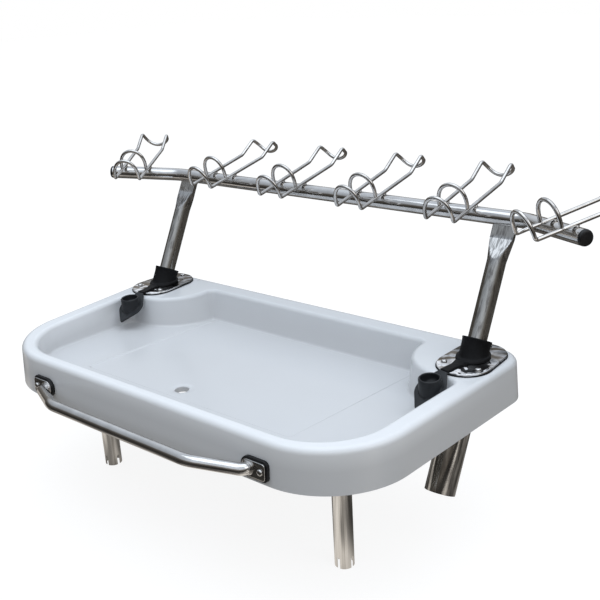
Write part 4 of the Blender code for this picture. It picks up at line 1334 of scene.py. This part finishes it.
def makeRest(number, place):
    t = restSet
    front, back, wire, rise = t["frontHalf"], t["backHalf"], t["wire"], t["armRise"]
    footY, footZ = -t["armFront"], armHeight(-t["armFront"])
    kinkY, kinkZ = t["armBack"], armHeight(t["armBack"])
    peakY = kinkY + t["kickLength"] * cos(t["kickRise"])
    peakZ = kinkZ + t["kickLength"] * sin(t["kickRise"])
    arm = [(front, footY, footZ), (back, kinkY, kinkZ), (back, peakY, peakZ)]
    saddle = []
    for k in range(3, t["archSteps"] - 2):
        a = pi * k / t["archSteps"]
        dip = sin(a)
        bow = 1 - (1 - dip) ** t["saddleFullness"]
        saddle.append((back * cos(a), peakY + t["saddleBack"] * bow, peakZ - t["saddleDrop"] * dip))
    arch = archLine(front, footY, footZ, t["frontHeight"], t["frontLean"])[1:-1]
    corners = arm + saddle + [(-x, y, z) for x, y, z in reversed(arm)] + arch
    radii = t["armBends"] + [0] * len(saddle) + t["armBends"][::-1] + [0] * len(arch)
    bm = rod(bentPath(corners, radii, 7, True), wire, place, True, 6)
    for sign in (-1, 1):
        for near in (-1, 1):
            # the arm touches the rail on top; metal runs into both sides of the contact
            x, y = (near * shift for shift in t["railBeadShift"])
            spot = place @ Vector((sign * armWidth(0) + x, y, armHeight(0) - wire * t["railBeadDrop"]))
            weldBead(bm, spot, t["railBead"], number * 3 + sign + near, place.to_3x3() @ Vector((0, 1, 0)))
    makePiece(bm, "rack", f"rod_rest_{number}", finish="wireSteel", sharp=60)

    y = -t["hoopSetback"]
    z, w = armHeight(y) + (wire + gap) / cos(rise), armWidth(y)
    arch = archLine(w, y - wire * sin(rise), z + wire * cos(rise), t["hoopHeight"], t["hoopLean"])
    bm = rod([(-w, y, z)] + arch + [(w, y, z)], wire, place, False, 6)
    for sign in (-1, 1):
        spot = place @ Vector((sign * w, y + t["hoopBeadBack"], z - wire * t["hoopBeadDrop"]))
        weldBead(bm, spot, t["hoopBead"], number * 5 + sign, place.to_3x3() @ Vector((0, 1, 0.2)))
    makePiece(bm, "rack", f"rest_hoop_{number}", finish="wireSteel", sharp=60)


def restPlace(number):
    t, r = restSet, railSet
    x = (number - 3.5) * t["pitch"] + t["shift"]
    if number not in (1, 6):
        return trayPlace @ moved(x, r["y"], r["z"])
    # the outer rests stand on the bent ends and turn with them
    sign = copysign(1.0, x)
    end, corner = railEnd(), railCorner()
    spot = corner.lerp(end, (t["onEnd"] + sign * t["shift"] / 2) / r["endLength"])
    tilt = asin(r["endRise"] / (end - corner).length)
    turn = turned(-sign * r["endAngle"], "Z") @ turned(-sign * tilt, "Y")
    return trayPlace @ moved(sign * spot.x, spot.y, spot.z) @ turn


for side, sign in sides:
    makePost(side)
makeRail()
for number in range(1, 7):
    makeRest(number, restPlace(number))
print("rack made")


# grab handle on its pads
handleSet = {
    "frontY": -0.47194,
    "z": -0.047,
    "faceLean": radians(3.0),
    "radius": 0.0095,
    "footX": 0.238,
    "cornerX": 0.160,
    "standoff": 0.052,
    "lift": 0.005,  # the middle of the tube stands a little higher than its feet
    "bend": 0.060,
    "footBend": 0.012,
    "footStraight": 0.008,
    "weldRipple": (0.012, 14, 17),  # how much, and waves round the foot across and upwards
    "plateX": 0.248,
    "plateHalf": (0.0225, 0.0135),
    "plateEdge": 0.0009,
    "outerCorner": 0.005,
    "innerCorner": 0.0125,
    "plateBack": 0.0056,
    "plateFront": 0.0081,
    "padMargin": 0.0032,
    "padFront": 0.0053,
    "padEdge": 0.0008,
    "screwX": 0.2625,
    "nutY": 0.0093,
    "screwTurn": 0.5,
}


def handlePlate(sign, margin, low, high, edge):
    # drawn flat, then stood up against the front face
    t = handleSet
    w, h = t["plateHalf"][0] + margin, t["plateHalf"][1] + margin
    outer, inner = t["outerCorner"] + margin, t["innerCorner"] + margin
    right, left = (outer, inner) if sign > 0 else (inner, outer)
    x = sign * t["plateX"]
    outline = [(x + w, h, right, 10), (x - w, h, left, 10), (x - w, -h, left, 10), (x + w, -h, right, 10)]
    bm = plate(outline, low, high, edge, 4)
    setDown(bm, turned(quarter, "X"))
    return bm


def handleHole(sign):
    return screwHoles([(sign * handleSet["screwX"], 0)], turned(quarter, "X"), -0.03, 0.03)


def footWeld(sign):
    # weld fillet round the tube's foot, a little uneven
    t = handleSet
    r, out = t["radius"], t["plateFront"]
    ripple, across, upwards = t["weldRipple"]
    fillet = spun([
        (r - 0.0012, out - 0.0012), (r + 0.0021, out - 0.0012), (r + 0.0018, out + 0.0003),
        (r + 0.0008, out + 0.0012), (r - 0.0012, out + 0.0022),
    ], 56, True)
    for vert in fillet.verts:
        a = atan2(vert.co.y, vert.co.x)
        vert.co.x *= 1 + ripple * sin(across * a + sign)
        vert.co.y *= 1 + ripple * sin(upwards * a)
    return helper(fillet, "footWeld", moved(sign * t["footX"], 0) @ turned(quarter, "X"))


def makeHandle():
    t = handleSet
    place = trayPlace @ moved(0, t["frontY"], t["z"]) @ turned(-t["faceLean"], "X")
    front = t["plateFront"]
    half = [
        (t["footX"], -(t["plateBack"] + front) / 2, 0), (t["footX"], -front - t["footStraight"], 0),
        (t["cornerX"], -t["standoff"], t["lift"]),
    ]
    bends = [0, t["footBend"], t["bend"]]
    line = bentPath([(-x, y, z) for x, y, z in half] + half[::-1], bends + bends[::-1], 16)
    adds, cuts = [], []
    for side, sign in sides:
        foot = handlePlate(sign, 0.0, t["plateBack"], front, t["plateEdge"])
        adds += [helper(foot, "handlePlate"), footWeld(sign)]
        cuts += handleHole(sign)
    tube = rod(line, t["radius"], Matrix(), False, 14)
    makePiece(tube, "board", "grab_handle", None, adds, cuts, place, "railSteel", 35)
    screw, nut = panScrew(front + screwSet["shank"]), hexNut()
    for side, sign in sides:
        pad = handlePlate(sign, t["padMargin"], gap, t["padFront"], t["padEdge"])
        makePiece(pad, "board", side + "_handle_pad", cuts=handleHole(sign), last=place)
        stand = turned(quarter, "X") @ turned(t["screwTurn"] * sign, "Z")
        for data, y, kind in ((screw, -front - gap, "screw"), (nut, t["nutY"], "nut")):
            setFastener(data, place @ moved(sign * t["screwX"], y) @ stand, f"{side}_handle_{kind}")


makeHandle()
print("handle made")


# legs: plate and slotted tube in one, three screws each
legSet = {
    "radius": 0.016,
    "bore": 0.0142,
    "edge": 0.0007,
    "foot": -0.281,
    "plateRadius": 0.040,
    "plateLow": -0.0658,
    "plateTop": -0.0618,
    "slotReach": 0.06,
    "slotWidth": 0.006,
    "slotDepth": 0.020,
    "slotRound": 0.42,
    "screwCircle": 0.030,
    "screwShank": 0.0106,
    "screwTurn": 1.1,
}


def makeLeg(side, sign):
    t = legSet
    place = trayPlace @ moved(sign * places["legX"], -places["legSetback"])
    r, b, p, edge, foot = t["radius"], t["bore"], t["plateRadius"], t["edge"], t["foot"]
    low, top, deep = t["plateLow"], t["plateTop"], t["slotDepth"]
    bm = spun([
        (0.0, low), (b, low), (b, foot + edge * 0.5), (b + edge * 0.5, foot), (r - edge, foot),
        (r, foot + edge), (r, low - 0.0030), (r + 0.0003, low - 0.0018), (r + 0.0010, low - 0.0008),
        (r + 0.0024, low - 0.0002), (r + 0.0034, low), (p - 0.0008, low), (p, low + 0.0008),
        (p, top - 0.0003), (p - 0.0003, top), (0.0, top),
    ], 72)
    cuts = []
    for k in range(2):
        slot = slotBlock((t["slotReach"], t["slotWidth"], deep * 2), foot + deep, 1, t["slotRound"])
        cuts.append(helper(slot, "footSlot", turned(quarter * k, "Z")))
    angles = [quarter + tau * k / 3 for k in range(3)]
    spots = [(t["screwCircle"] * cos(a), t["screwCircle"] * sin(a)) for a in angles]
    cuts += screwHoles(spots, Matrix(), low - 0.01, top + 0.01)
    makePiece(bm, "board", side + "_leg", cuts=cuts, last=place, sharp=35)
    screw = panScrew(t["screwShank"])
    for k, (x, y) in enumerate(spots):
        spot = place @ moved(x, y, low - gap) @ turned(pi, "X") @ turned(k * t["screwTurn"], "Z")
        setFastener(screw, spot, f"{side}_leg_screw_{k + 1}")


for side, sign in sides:
    makeLeg(side, sign)
print("legs made")
